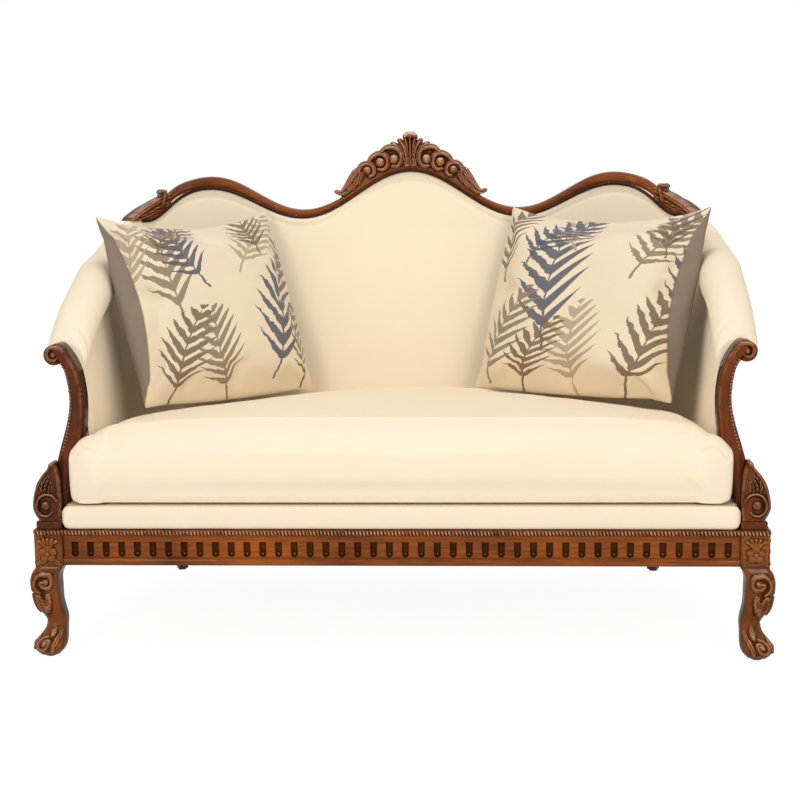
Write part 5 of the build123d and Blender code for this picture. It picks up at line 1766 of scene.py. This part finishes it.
@dataclass
class Pillow:
    """Scatter pillow: two square cloths sewn round the edge and blown up."""

    side: Side
    centre: Point3
    turn: float
    print: PrintedSatin
    body: Body
    half: float = 0.236
    lean: float = 20.0
    cells: int = 56
    puff: float = 0.060
    pressure: float = 6.0
    wide: float = 1.0
    skew: float = 0.058

    def sheet(self) -> tuple[Mesh, Array]:
        """Two grids that share their rim.

        Returns:
            The mesh, and its points before it is placed.
        """
        n = self.cells
        u, v = np.meshgrid(np.linspace(-1, 1, n + 1), np.linspace(-1, 1, n + 1), indexing="ij")
        lift = self.puff * np.clip((1 - np.abs(u) ** 2.4) * (1 - np.abs(v) ** 2.4), 0, 1) ** 0.62
        draw_u = 1 + 0.045 * (1 - v**2)
        draw_v = 1 + 0.045 * (1 - u**2)
        flat = np.stack([u * self.half * draw_u, v * self.half * draw_v, lift], axis=-1)
        index = np.arange((n + 1) ** 2).reshape(n + 1, n + 1)
        inner = index[1:-1, 1:-1]
        under = index.copy()
        under[1:-1, 1:-1] = (n + 1) ** 2 + np.arange(inner.size).reshape(inner.shape)
        points = np.concatenate([flat.reshape(-1, 3), flat[1:-1, 1:-1].reshape(-1, 3) * np.array([1, 1, -1])])
        both = np.stack([u, v], axis=-1)
        uv = np.concatenate([both.reshape(-1, 2), both[1:-1, 1:-1].reshape(-1, 2)]) * self.half
        mesh = Mesh()

        def quads(grid: Array) -> Array:
            """Faces of an index grid."""
            corners = [grid[:-1, :-1], grid[1:, :-1], grid[1:, 1:], grid[:-1, 1:]]
            return np.stack(corners, axis=-1).reshape(-1, 4)

        mesh.add(points, quads(index), uv=uv)
        mesh.quads.append(quads(under)[:, ::-1])
        mesh.slots.append(np.full(n * n, 1))
        return mesh, points

    def pose(self) -> Array:
        """Matrix from the flat pillow to its place in the corner of the settee."""
        turn, lean = math.radians(self.turn), math.radians(self.lean)
        across = np.array([math.cos(turn), math.sin(turn), 0.0])
        facing = np.array([math.sin(turn), -math.cos(turn), 0.0])
        normal = facing * math.cos(lean) + np.array([0.0, 0.0, math.sin(lean)])
        matrix = np.eye(4)
        matrix[:3, 0], matrix[:3, 1], matrix[:3, 2] = across, np.cross(normal, across), normal
        matrix[:3, 3] = self.centre
        return matrix

    def build(self) -> None:
        """Sews, blows up, creases and places the pillow."""
        mesh, _ = self.sheet()
        obj = mesh.build(f"pillow_{self.side.word}_cover", [self.print, BACK_CLOTH])
        Cloth.inflate(obj, self.pressure, 18, 0.03, 9.0)
        count = len(obj.data.vertices)
        points = np.empty(count * 3, np.float32)
        obj.data.vertices.foreach_get("co", points)
        points = points.reshape(-1, 3).astype(float)
        corner = np.abs(points[0, :2])
        points[:, :2] *= self.half / np.maximum(corner, 0.5 * self.half)
        points = self.sag(self.crease(points))
        points[:, 0] = points[:, 0] * self.wide + self.side.value * self.skew * points[:, 1]
        matrix = self.pose()
        points = points @ matrix[:3, :3].T + matrix[:3, 3]
        obj.data.vertices.foreach_set("co", points.astype(np.float32).ravel())
        obj.data.update()
        subdivide = obj.modifiers.new("subdivide", "SUBSURF")
        subdivide.levels = subdivide.render_levels = 1
        name = f"pillow_{self.side.word}"
        dress(obj, self.body, (f"{name}_insert", f"{name}_front", f"{name}_back"))

    def sag(self, points: Array) -> Array:
        """Lets the middle of the upper edge drop between the two corners."""
        across, up = points[:, 0] / self.half, points[:, 1] / self.half
        drop = 0.044 * np.clip(1 - across**2, 0, 1) * smoothstep(0.1, 1.0, up)
        return points - np.stack([np.zeros_like(drop), drop, np.zeros_like(drop)], axis=-1)

    def crease(self, points: Array) -> Array:
        """Pulled folds that run in from the corners and along the sides."""
        x, y, z = points.T
        side = np.sign(z)
        fold = np.zeros(len(points))
        for cx, cy in ((-1, -1), (-1, 1), (1, -1), (1, 1)):
            dx, dy = x - cx * self.half, y - cy * self.half
            r = np.hypot(dx, dy)
            angle = np.arctan2(dy * -cy, dx * -cx) - math.pi / 4
            near = np.exp(-(((r - 0.075) / 0.055) ** 2))
            fold += np.cos(angle * 9 + cx + 2 * cy + self.turn) * near * 0.0036
        soft = value_noise(points, 4.5, 31 + self.side.value) * 0.0028
        limit = np.clip(np.abs(z) / 0.02, 0, 1)
        return points + np.stack([np.zeros_like(x), np.zeros_like(x), side * (fold + soft) * limit], axis=-1)


@dataclass
class Crest:
    """Carved crest over the arch of the top rail: a fanned shell between scrolls and leaf tails."""

    front: float = 0.352
    depth: float = 0.026
    ground: float = 0.003

    def motifs(self) -> list[Motif]:
        """Motifs of the right-hand half; the relief mirrors them."""
        a = RAIL.arch
        wide = (0.0052, 0.0074, 0.0082, 0.0082, 0.0072, 0.0056, 0.0040)
        first = flow(
            (0.074, a + 0.045), (0.061, a + 0.056), (0.044, a + 0.058), (0.030, a + 0.052),
            (0.0225, a + 0.040), (0.0240, a + 0.024), (0.033, a + 0.0115), (0.046, a + 0.011),
        )
        second = flow(
            (0.107, a + 0.018), (0.096, a + 0.034), (0.079, a + 0.042), (0.065, a + 0.0375),
            (0.0575, a + 0.026), (0.0595, a + 0.012), (0.069, a + 0.003), (0.081, a + 0.0035),
        )
        third = flow(
            (0.130, a - 0.004), (0.127, a + 0.009), (0.115, a + 0.0165), (0.101, a + 0.0145),
            (0.0925, a + 0.004), (0.0945, a - 0.009), (0.104, a - 0.0145),
        )
        tail = flow(
            (0.119, a + 0.004), (0.132, a - 0.009), (0.145, a - 0.027), (0.160, a - 0.044),
            (0.175, a - 0.0555), (0.190, a - 0.0515),
        )
        return [
            Band(
                flow((0.0, a + 0.004), (0.0, a + 0.042), (0.0, a + 0.080)),
                (0.0016, 0.0023, 0.0030), 0.0155,
            ),
            Band(
                flow((0.0040, a + 0.004), (0.0056, a + 0.040), (0.0088, a + 0.062), (0.0125, a + 0.079)),
                (0.0022, 0.0034, 0.0046, 0.0058), 0.0140, Profile.RIM, -1.0,
            ),
            Band(
                flow((0.0072, a + 0.004), (0.0112, a + 0.034), (0.0168, a + 0.057), (0.0268, a + 0.0745)),
                (0.0022, 0.0050, 0.0070, 0.0060), 0.0132, Profile.RIM, -1.0,
            ),
            Band(
                flow((0.0110, a + 0.004), (0.0165, a + 0.030), (0.0262, a + 0.054), (0.0445, a + 0.0668)),
                (0.0022, 0.0052, 0.0074, 0.0058), 0.0118, Profile.RIM, -1.0,
            ),
            Band(
                flow((0.0, a + 0.0864), (0.006, a + 0.0866), (0.0118, a + 0.0850)),
                (0.0092, 0.0090, 0.0070), 0.0165,
            ),
            Boss((0.0122, a + 0.0846), 0.0052, 0.0190, 0.013),
            Leaf(tail, (0.010, 0.0180, 0.0172, 0.0125, 0.0080, 0.0048), 0.0130, 5.0, 1, 2.4),
            Band(first, wide, 0.0165, Profile.RIM, -1.0, 0.14),
            Band(second, wide, 0.0165, Profile.RIM, -1.0, 0.14),
            Band(third, wide, 0.0165, Profile.RIM, -1.0, 0.14),
            Boss((0.0410, a + 0.0265), 0.0128, 0.0200, 0.004),
            Boss((0.0755, a + 0.0195), 0.0130, 0.0200, 0.004),
            Boss((0.1090, a + 0.0005), 0.0122, 0.0200, 0.004),
        ]

    def build(self) -> None:
        """Cuts the crest and sets it on the rail."""
        relief = Relief((-0.202, RAIL.arch - 0.085), (0.202, RAIL.arch + 0.098), 0.001, symmetric=True)
        seat = RAIL.underside(relief.x) + RAIL.thickness(relief.x) - 0.004
        levels = (
            (0.0, 0.082), (0.012, 0.080), (0.022, 0.072), (0.032, 0.062), (0.044, 0.057),
            (0.060, 0.052), (0.072, 0.044), (0.080, 0.041), (0.095, 0.031), (0.106, 0.016),
            (0.128, 0.002), (0.146, -0.026), (0.170, -0.058), (0.188, -0.076),
        )
        edge = flow(*[(x, RAIL.arch + z) for x, z in levels])
        height = np.interp(relief.fold, edge[:, 0], edge[:, 1])
        ground = np.where(relief.fold < 0.188, height - relief.z, -1.0)
        relief.cover = np.minimum(ground, relief.z - seat)
        relief.height = np.where(relief.cover > 0, self.ground, 0.0)
        relief.lay(*self.motifs()).cut(relief.z - seat)
        mesh = Mesh()
        relief.mesh(mesh, lambda x, z, h: np.stack([x, self.front - h, z], axis=-1), self.depth)
        piece = mesh.build("crest_carving", [CREST_WOOD])
        dress(piece, Body.FRAME, ("crest",))


@dataclass
class RailLeaf:
    """Carved leaf that ends the top rail, bent round the corner with it."""

    side: Side

    def build(self) -> None:
        """Cuts the leaf over the rail's own section."""
        start, end = RAIL.leaf_x - 0.004, RAIL.end_x + 0.004
        relief = Relief((start, -0.004), (end, 0.075), 0.0009)
        crown = (
            (0.0, 0.029), (0.02, 0.036), (0.036, 0.0415), (0.052, 0.037),
            (0.068, 0.027), (0.082, 0.015), (0.093, 0.003),
        )
        upper = [(start + x, z) for x, z in crown]
        lower = [(end - 0.003, -0.0038), (start, -0.0038)]
        horn = flow(
            (start + 0.022, 0.018), (start + 0.016, 0.032), (start + 0.014, 0.043), (start + 0.018, 0.050)
        )
        relief.lay(
            Plate(tuple(map(tuple, flow(*upper, count=40))) + tuple(lower), 0.0100, 0.004),
            Band(
                flow((start, 0.020), (start + 0.028, 0.031), (start + 0.055, 0.028), (end - 0.012, 0.006)),
                (0.0085, 0.0095, 0.0080, 0.0045), 0.0140, Profile.RIM,
            ),
            Leaf(
                flow((start, 0.006), (start + 0.028, 0.016), (start + 0.055, 0.014), (end - 0.014, 0.002)),
                (0.0080, 0.0100, 0.0090, 0.0050), 0.0135, 5.0, -1,
            ),
            Leaf(
                flow((start + 0.018, 0.002), (start + 0.038, 0.006), (start + 0.066, 0.004)),
                (0.006, 0.008, 0.006), 0.0125, 4.0,
            ),
            Band(horn, (0.0085, 0.0072, 0.0055, 0.0035), 0.0160),
        )
        relief.cut(relief.z + 0.0005)
        mesh = Mesh()
        sign = self.side.value

        def place(x: Array, z: Array, h: Array) -> Array:
            """On the rail's front at station x, and back through its depth."""
            out = np.where(h < 0, RAIL.front + RAIL.depth, RAIL.front + 0.008 - h)
            points = RAIL.place(x, out, z)
            return points * np.array([sign, 1, 1])

        relief.mesh(mesh, place, 0.030)
        if self.side is Side.LEFT:
            mesh.quads = [quads[:, ::-1] for quads in mesh.quads]
        piece = mesh.build(f"rail_leaf_{self.side.word}_carving", [CARVED_WOOD])
        dress(piece, Body.FRAME, (f"rail_leaf_{self.side.word}",))


@dataclass
class ArmFront:
    """Scrolled arm stump with its pearls, and the carved console at its foot."""

    side: Side
    front: float = -0.343
    thick: float = 0.050
    eye: Point2 = (0.7370, 0.6612)

    def place(self, plane: float) -> Callable[[Array, Array, Array], Array]:
        """Places a relief on an upright plane that faces the front."""
        sign = self.side.value
        return lambda x, z, h: np.stack([sign * x, plane - h, z], axis=-1)

    def finish(self, mesh: Mesh, name: str, nodes: Sequence[str], finish: Finish) -> None:
        """Builds a piece on this side, with its faces turned outwards."""
        if self.side is Side.LEFT:
            mesh.quads = [quads[:, ::-1] for quads in mesh.quads]
        piece = mesh.build(f"{name}_{self.side.word}", [finish])
        dress(piece, Body.FRAME, nodes)

    def stump(self) -> None:
        """S-shaped stump that winds into a volute at the top."""
        inner = flow(
            (0.728, 0.300), (0.709, 0.380), (0.695, 0.445), (0.684, 0.4993), (0.679, 0.543), (0.6805, 0.585),
            (0.688, 0.6245), (0.699, 0.6516), (0.715, 0.6735), (0.731, 0.683), count=120,
        )
        outer = flow(
            (0.772, 0.300), (0.751, 0.385), (0.735, 0.4335), (0.718, 0.4885), (0.7080, 0.543),
            (0.7076, 0.585),
            (0.7145, 0.6245), (0.7215, 0.638), (0.7265, 0.648), (0.7290, 0.660), count=120,
        )
        middle = (inner + outer) / 2
        widths = tuple((np.linalg.norm(outer - inner, axis=1) / 2)[::6])
        winding = spiral(self.eye, self.eye, (0.0165, 0.004), 115, -470)
        relief = Relief((0.666, 0.300), (0.780, 0.690), 0.0011)
        relief.lay(
            Band(middle, widths, 0.0120),
            Band(inner[6:112] + (outer - inner)[6:112] * 0.10, (0.0022, 0.0030, 0.0030), 0.0085),
            Boss(self.eye, 0.022, 0.007, 0.005),
            Band(winding, (0.0064, 0.0056, 0.0046, 0.003), 0.0120),
            Boss(self.eye, 0.0066, 0.0145, 0.006),
        )
        margin = outer[30:104] + (inner - outer)[30:104] * 0.13
        length = np.concatenate([[0], np.cumsum(np.linalg.norm(np.diff(margin, axis=0), axis=1))])
        for at in np.arange(0.004, length[-1], 0.0078):
            spot = [np.interp(at, length, margin[:, i]) for i in (0, 1)]
            relief.lay(Boss((spot[0], spot[1]), 0.0032, 0.0135, 0.006))
        mesh = Mesh()
        relief.mesh(mesh, self.place(self.front + 0.006), self.thick - 0.006)
        self.plinth(mesh)
        nodes = (f"arm_stump_{self.side.word}", f"arm_beads_{self.side.word}")
        self.finish(mesh, "arm_stump", nodes, STUMP_WOOD)

    def plinth(self, mesh: Mesh) -> None:
        """Low block under the stump, with softened edges."""
        low = np.array([0.7262, -0.378, 0.286])
        high = np.array([0.782, -0.293, 0.304])
        mesh_points = rounded_block(low, high, 0.0025)
        mesh_points[..., 0] *= self.side.value
        mesh.grid(mesh_points, close=True)

    def console(self) -> None:
        """Carved console: a fat C-scroll with a leaf, standing on the plinth."""
        corners = (
            (0.729, 0.305), (0.760, 0.3045), (0.776, 0.308), (0.787, 0.328), (0.787, 0.350),
            (0.779, 0.382), (0.766, 0.404), (0.754, 0.418), (0.748, 0.429), (0.740, 0.431),
            (0.735, 0.424), (0.730, 0.400), (0.7275, 0.350), (0.729, 0.305),
        )
        outline = through(np.array(corners), 140)[:-1]
        relief = Relief((0.724, 0.300), (0.792, 0.436), 0.0008)
        scroll = flow(
            (0.7330, 0.350), (0.7420, 0.3605), (0.7560, 0.3640), (0.7695, 0.3575), (0.7765, 0.3440),
            (0.7750, 0.3285), (0.7655, 0.3180), (0.7530, 0.3175), (0.7440, 0.3250), count=160,
        )
        edge = flow(
            (0.7445, 0.426), (0.7600, 0.403), (0.7735, 0.380), (0.7815, 0.350), (0.7800, 0.325),
            (0.7700, 0.3105), count=140,
        )
        relief.lay(
            Plate(tuple(map(tuple, outline)), 0.0150, 0.020),
            Band(edge, (0.0030, 0.0042, 0.0046, 0.0044, 0.0034), 0.0150),
            Band(scroll, (0.0030, 0.0044, 0.0050, 0.0050, 0.0046, 0.0036), 0.0215),
            Leaf(
                flow((0.760, 0.366), (0.7615, 0.378), (0.757, 0.390), (0.750, 0.402)),
                (0.006, 0.0105, 0.0090, 0.004), 0.0225, 4.0,
            ),
            Leaf(flow((0.745, 0.363), (0.7465, 0.374), (0.7445, 0.388)), (0.005, 0.0075, 0.004), 0.0210, 3.0),
            Boss((0.7575, 0.3395), 0.0108, 0.0225, 0.012),
            Boss((0.7435, 0.4265), 0.0062, 0.0190, 0.009),
        )
        mesh = Mesh()
        relief.mesh(mesh, self.place(self.front - 0.024), 0.0235)
        self.finish(mesh, "arm_console", (f"arm_console_{self.side.word}",), CONSOLE_WOOD)

    def build(self) -> None:
        """Makes the stump and the console."""
        self.stump()
        self.console()


def rounded_block(low: Array, high: Array, radius: float, sides: int = 6) -> Array:
    """Closed rings of a box with rounded edges, from below to above.

    Args:
        low: lowest corner.
        high: highest corner.
        radius: radius of the edges.
        sides: steps round each edge.

    Returns:
        (rings, points, 3) grid that closes along its columns.
    """
    quarter = np.linspace(0, math.pi / 2, sides)
    corner = np.concatenate([quarter + i * math.pi / 2 for i in range(4)])
    sign_x = np.sign(np.cos(corner.reshape(4, -1).mean(axis=1))).repeat(sides)
    sign_y = np.sign(np.sin(corner.reshape(4, -1).mean(axis=1))).repeat(sides)
    middle, half = (low + high) / 2, (high - low) / 2
    rings = []
    steps = [(-radius + radius * math.sin(a), -half[2] + radius * (1 - math.cos(a))) for a in quarter]
    steps += [(d, -z) for d, z in steps[::-1]]
    for draw, z in steps:
        x = sign_x * (half[0] - radius) + (radius + draw) * np.cos(corner)
        y = sign_y * (half[1] - radius) + (radius + draw) * np.sin(corner)
        rings.append(np.stack([middle[0] + x, middle[1] + y, np.full_like(x, middle[2] + z)], axis=-1))
    lid = rings[-1].mean(axis=0)
    base = rings[0].mean(axis=0)
    rings = [np.broadcast_to(base, rings[0].shape)] + rings + [np.broadcast_to(lid, rings[0].shape)]
    return np.stack(rings)


@dataclass
class FrontLeg:
    """Cabriole leg with its corner block: rounded squares on the diagonal, carved at knee and toe."""

    side: Side
    block: float = 0.062
    inner_x: float = 0.726
    front_y: float = -0.381
    knee_top: float = 0.205
    levels: tuple[tuple[float, float, float, float], ...] = (
        (0.004, 0.002, -0.018, 2.6),
        (0.015, 0.012, -0.008, 2.6),
        (0.030, 0.012, -0.003, 2.8),
        (0.057, -0.008, -0.003, 3.0),
        (0.084, -0.010, -0.002, 3.2),
        (0.106, 0.002, -0.005, 3.4),
        (0.128, 0.008, -0.008, 3.6),
        (0.161, 0.011, -0.009, 4.2),
        (0.183, 0.0088, -0.009, 6.0),
        (0.205, 0.000, 0.000, 9.0),
    )
    rows: int = 250
    sides: int = 260

    def carving(self, s: Array, z: Array) -> Array:
        """Height of the carving over the leg's skin.

        Args:
            s: distance round the leg from its outer front edge.
            z: height.

        Returns:
            Heights of the scroll and leaf on the knee and of the scroll on the toe.
        """
        s = np.abs(s)
        knee = spiral((0.0265, 0.1690), (0.0300, 0.1715), (0.0245, 0.0100), -115, -420)
        fringe = flow((0.012, 0.138), (0.014, 0.126), (0.016, 0.113), (0.013, 0.099))
        inner = flow((0.034, 0.142), (0.030, 0.126), (0.025, 0.112), (0.020, 0.101))
        toe = spiral((0.018, 0.031), (0.019, 0.032), (0.0165, 0.006), 100, 400)
        strap = flow((0.036, 0.062), (0.040, 0.046), (0.042, 0.030), (0.038, 0.014))
        instep = flow((0.018, 0.072), (0.020, 0.060), (0.024, 0.050))
        motifs: list[Motif] = [
            Band(knee, (0.0032, 0.0050, 0.0056, 0.0054, 0.0046, 0.0036), 0.0056, Profile.RIM),
            Boss((0.0300, 0.1715), 0.0080, 0.0062, 0.001),
            Leaf(fringe, (0.008, 0.0120, 0.0105, 0.004), 0.0052, 5.0),
            Leaf(inner, (0.006, 0.0090, 0.0075, 0.003), 0.0044, 5.0),
            Band(toe, (0.0034, 0.0048, 0.0044, 0.0030), 0.0044, Profile.RIM),
            Boss((0.019, 0.032), 0.0058, 0.0052, 0.001),
            Leaf(strap, (0.004, 0.0075, 0.0075, 0.004), 0.0034, 4.0),
            Leaf(instep, (0.004, 0.0075, 0.0050), 0.0034, 3.0),
        ]
        total = np.zeros_like(s)
        for motif in motifs:
            cover, height = motif.field(s, z)
            total = np.maximum(total, np.where(cover > 0, height * smoothstep(0, 0.0012, cover), 0))
        return total

    def build(self) -> None:
        """Sweeps the skin, carves it and closes the foot."""
        shape = Curve([l[0] for l in self.levels], [l[1:] for l in self.levels])
        z = np.linspace(0.004, self.knee_top - 0.0004, self.rows)
        out, inner, power = shape(z).T
        half = (self.block + out + inner) / 2
        shift = (out - inner) / 2
        angle = np.linspace(-math.pi, math.pi, self.sides + 1) - math.pi / 4
        cos, sin = np.cos(angle)[None, :], np.sin(angle)[None, :]
        bend = (2 / power)[:, None]
        across = half[:, None] * np.sign(cos) * np.abs(cos) ** bend
        deep = half[:, None] * np.sign(sin) * np.abs(sin) ** bend
        x = self.inner_x + self.block / 2 + shift[:, None] + across
        y = self.front_y + self.block / 2 - shift[:, None] + deep
        height = np.broadcast_to(z[:, None], x.shape)
        points = np.stack([x, y, height], axis=-1)
        step = np.linalg.norm(np.diff(points, axis=1), axis=-1)
        s = np.concatenate([np.zeros((self.rows, 1)), np.cumsum(step, axis=1)], axis=1)
        s = s - s[:, self.sides // 2 : self.sides // 2 + 1]
        carve = self.carving(s, height)
        normal = np.cross(np.gradient(points, axis=1), np.gradient(points, axis=0))
        normal /= np.linalg.norm(normal, axis=-1, keepdims=True) + 1e-12
        points = points + normal * (carve - 0.0022 * smoothstep(0.0, 0.02, self.knee_top - height))[..., None]
        points[:, -1] = points[:, 0]
        points[..., 2] = np.maximum(points[..., 2], 0.004)
        # Ridges and recesses of the carving; the finish turns them into painted shade in the recesses,
        # painted highlights on upward ridges and bared gilt.
        worn = highpass(carve, 8, 0.0016)
        sole = points[0].mean(axis=0)
        points = np.concatenate([np.broadcast_to(sole, (1, *points.shape[1:])), points])
        worn = np.concatenate([worn[:1], worn])
        points[..., 0] *= self.side.value
        mesh = Mesh()
        mesh.grid(points, flip=self.side is Side.LEFT, carve=worn)
        low = np.array([self.inner_x, self.front_y, self.knee_top - 0.001])
        high = np.array([self.inner_x + self.block, self.front_y + self.block, 0.286])
        top = rounded_block(low, high, 0.003)
        top[..., 0] *= self.side.value
        mesh.grid(top, close=True, flip=self.side is Side.LEFT)
        piece = mesh.build(f"front_leg_{self.side.word}_carving", [GILDED_WOOD])
        dress(piece, Body.FRAME, (f"front_leg_{self.side.word}",))


@dataclass
class Rosettes:
    """Flowers in leafy panels on the faces of the corner blocks."""

    z: float = 0.2395

    def build(self) -> None:
        """Cuts one panel and sets it on four faces."""
        relief = Relief((-0.027, -0.032), (0.027, 0.030), 0.0007)
        relief.lay(Plate(((-0.026, -0.031), (0.026, -0.031), (0.026, 0.029), (-0.026, 0.029)), 0.0008, 0.002))
        for i in range(5):
            angle = math.radians(90 + 72 * i)
            spot = (0.0108 * math.cos(angle), 0.0108 * math.sin(angle) - 0.006)
            relief.lay(Boss(spot, 0.0096, 0.0088, 0.0020))
        relief.lay(Boss((0.0, -0.006), 0.0056, 0.0125, 0.007))
        for lean in (-2, -1, 0, 1, 2):
            tip = (0.0092 * lean, 0.0262 - 0.0011 * lean**2)
            rib = flow((0.003 * lean, 0.008), (0.0056 * lean, 0.017), tip, count=50)
            relief.lay(Band(rib, (0.0018, 0.0036, 0.0046), 0.0074))
        for sx in (-1, 1):
            spine = flow((sx * 0.006, -0.024), (sx * 0.015, -0.0235), (sx * 0.0235, -0.028), count=50)
            relief.lay(Leaf(spine, (0.003, 0.0062, 0.0035), 0.0066, 3.0))
        mesh = Mesh()
        for side in Side:
            sign = side.value

            def on_front(x: Array, z: Array, h: Array) -> Array:
                """On the front face of the block."""
                return np.stack([sign * 0.757 + x, -0.381 - h, self.z + z], axis=-1)

            def on_side(x: Array, z: Array, h: Array) -> Array:
                """On the outer face of the block, in lower relief."""
                return np.stack([sign * (0.788 + 0.4 * h), -0.350 + sign * x, self.z + z], axis=-1)

            relief.mesh(mesh, on_front, -0.0001, 5)
            relief.mesh(mesh, on_side, -0.0001, 5)
        piece = mesh.build("rosette_panels", [ROSETTE_WOOD])
        dress(piece, Body.FRAME, ("rosettes",))


@dataclass
class BeadStrips:
    """Carved strip of slanted beads along the front and sides of the seat frame."""

    low: float = 0.274
    high: float = 0.286
    pitch: float = 0.0076
    front_length: float = 1.573
    side_length: float = 0.440
    run_out: float = 0.003
    face: float = -0.3805

    def ridge(self, length: float) -> tuple[Array, Array, Array, Array]:
        """Grid over a strip, with beads as the ridges of |sin| along it, slanted by the height across it.

        Args:
            length: length of the strip.

        Returns:
            Place along the strip, height, standing out, and the share of carving for the finish.
        """
        along = np.linspace(0, length, max(20, int(length / self.pitch * 9)))
        across = np.linspace(0, 1, 15)
        a, c = np.meshgrid(along, across, indexing="ij")
        dome = np.sqrt(np.clip(1 - (2 * c - 1) ** 2, 0, 1))
        bead = np.abs(np.sin(math.pi * (a / self.pitch + 0.45 * c)))
        stand = dome * (0.0035 + 0.0045 * bead**0.7)
        stand *= smoothstep(0, self.run_out, a) * smoothstep(length, length - self.run_out, a)
        carve = np.clip((bead - 0.55) * 2.2, -1, 1) * dome
        return a, self.low + (self.high - self.low) * c, stand, carve

    def build(self) -> None:
        """Front strip across both blocks, and one along each side."""
        mesh = Mesh()
        a, z, stand, carve = self.ridge(self.front_length)
        points = np.stack([a - self.front_length / 2, self.face - stand, z], axis=-1)
        mesh.grid(points, flip=True, carve=carve)
        ends, tops = np.array([-0.726, 0.726]), np.full(2, self.high)
        shelf = np.stack([np.stack([ends, np.full(2, y), tops], axis=-1) for y in (-0.381, -0.373)])
        mesh.grid(shelf)
        under = shelf.copy()
        under[..., 2] = self.low
        mesh.grid(under, flip=True)
        for sign in (-1, 1):
            a, z, stand, carve = self.ridge(self.side_length)
            points = np.stack([sign * (0.7870 + 0.4 * stand), self.face + a, z], axis=-1)
            mesh.grid(points, flip=sign > 0, carve=carve)
            ends = np.array([-0.319, 0.059])
            lid = np.stack([np.stack([np.full(2, sign * x), ends, tops], axis=-1) for x in (0.788, 0.780)])
            mesh.grid(lid, flip=sign < 0)
        piece = mesh.build("bead_strips", [BEADED_WOOD])
        dress(piece, Body.FRAME, ("bead_strip_front", "bead_strip_left", "bead_strip_right"))


class CadFinishes:
    """Materials of the CAD nodes that stay in view or inside the frame."""

    FINISHES: dict[str, Finish] = {
        "top_rail": RAIL_WOOD,
        "front_rail": FLUTED_WOOD,
        "side_rail": SIDE_WOOD,
        "corner_rail": RAIL_WOOD,
        "back_rail": RAIL_WOOD,
        "rear_leg": UPRIGHT_WOOD,
        "feet_glides": GLIDE,
        "rear_leg_bolts": STEEL,
        "seat_webbing": JUTE,
        "back_webbing": JUTE,
    }

    def build(self) -> None:
        """Gives every node a finish; unnamed ones are hidden frame wood."""
        for name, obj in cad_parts.items():
            finish = next((f for key, f in self.FINISHES.items() if name.startswith(key)), HIDDEN_WOOD)
            material = finish.material()
            obj.data.materials.clear()
            obj.data.materials.append(material)
        LOG.info("finishes for %d CAD nodes", len(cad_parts))


def main() -> None:
    """Builds the whole scene."""
    logging.basicConfig(level=logging.INFO, format="%(name)s: %(message)s")
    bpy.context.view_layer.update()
    Camera().build()
    Studio().build()
    CadFinishes().build()
    Upholstery().build()
    SeatCushion().build()
    Pillow(Side.LEFT, (-0.480, 0.098, 0.7282), 40.0, LEFT_PRINT, Body.LEFT_PILLOW).build()
    Pillow(Side.RIGHT, (0.440, 0.1186, 0.7325), -27.0, RIGHT_PRINT, Body.RIGHT_PILLOW, wide=1.10).build()
    Crest().build()
    Rosettes().build()
    BeadStrips().build()
    for side in Side:
        RailLeaf(side).build()
        ArmFront(side).build()
        FrontLeg(side).build()


if __name__ == "__main__":
    main()
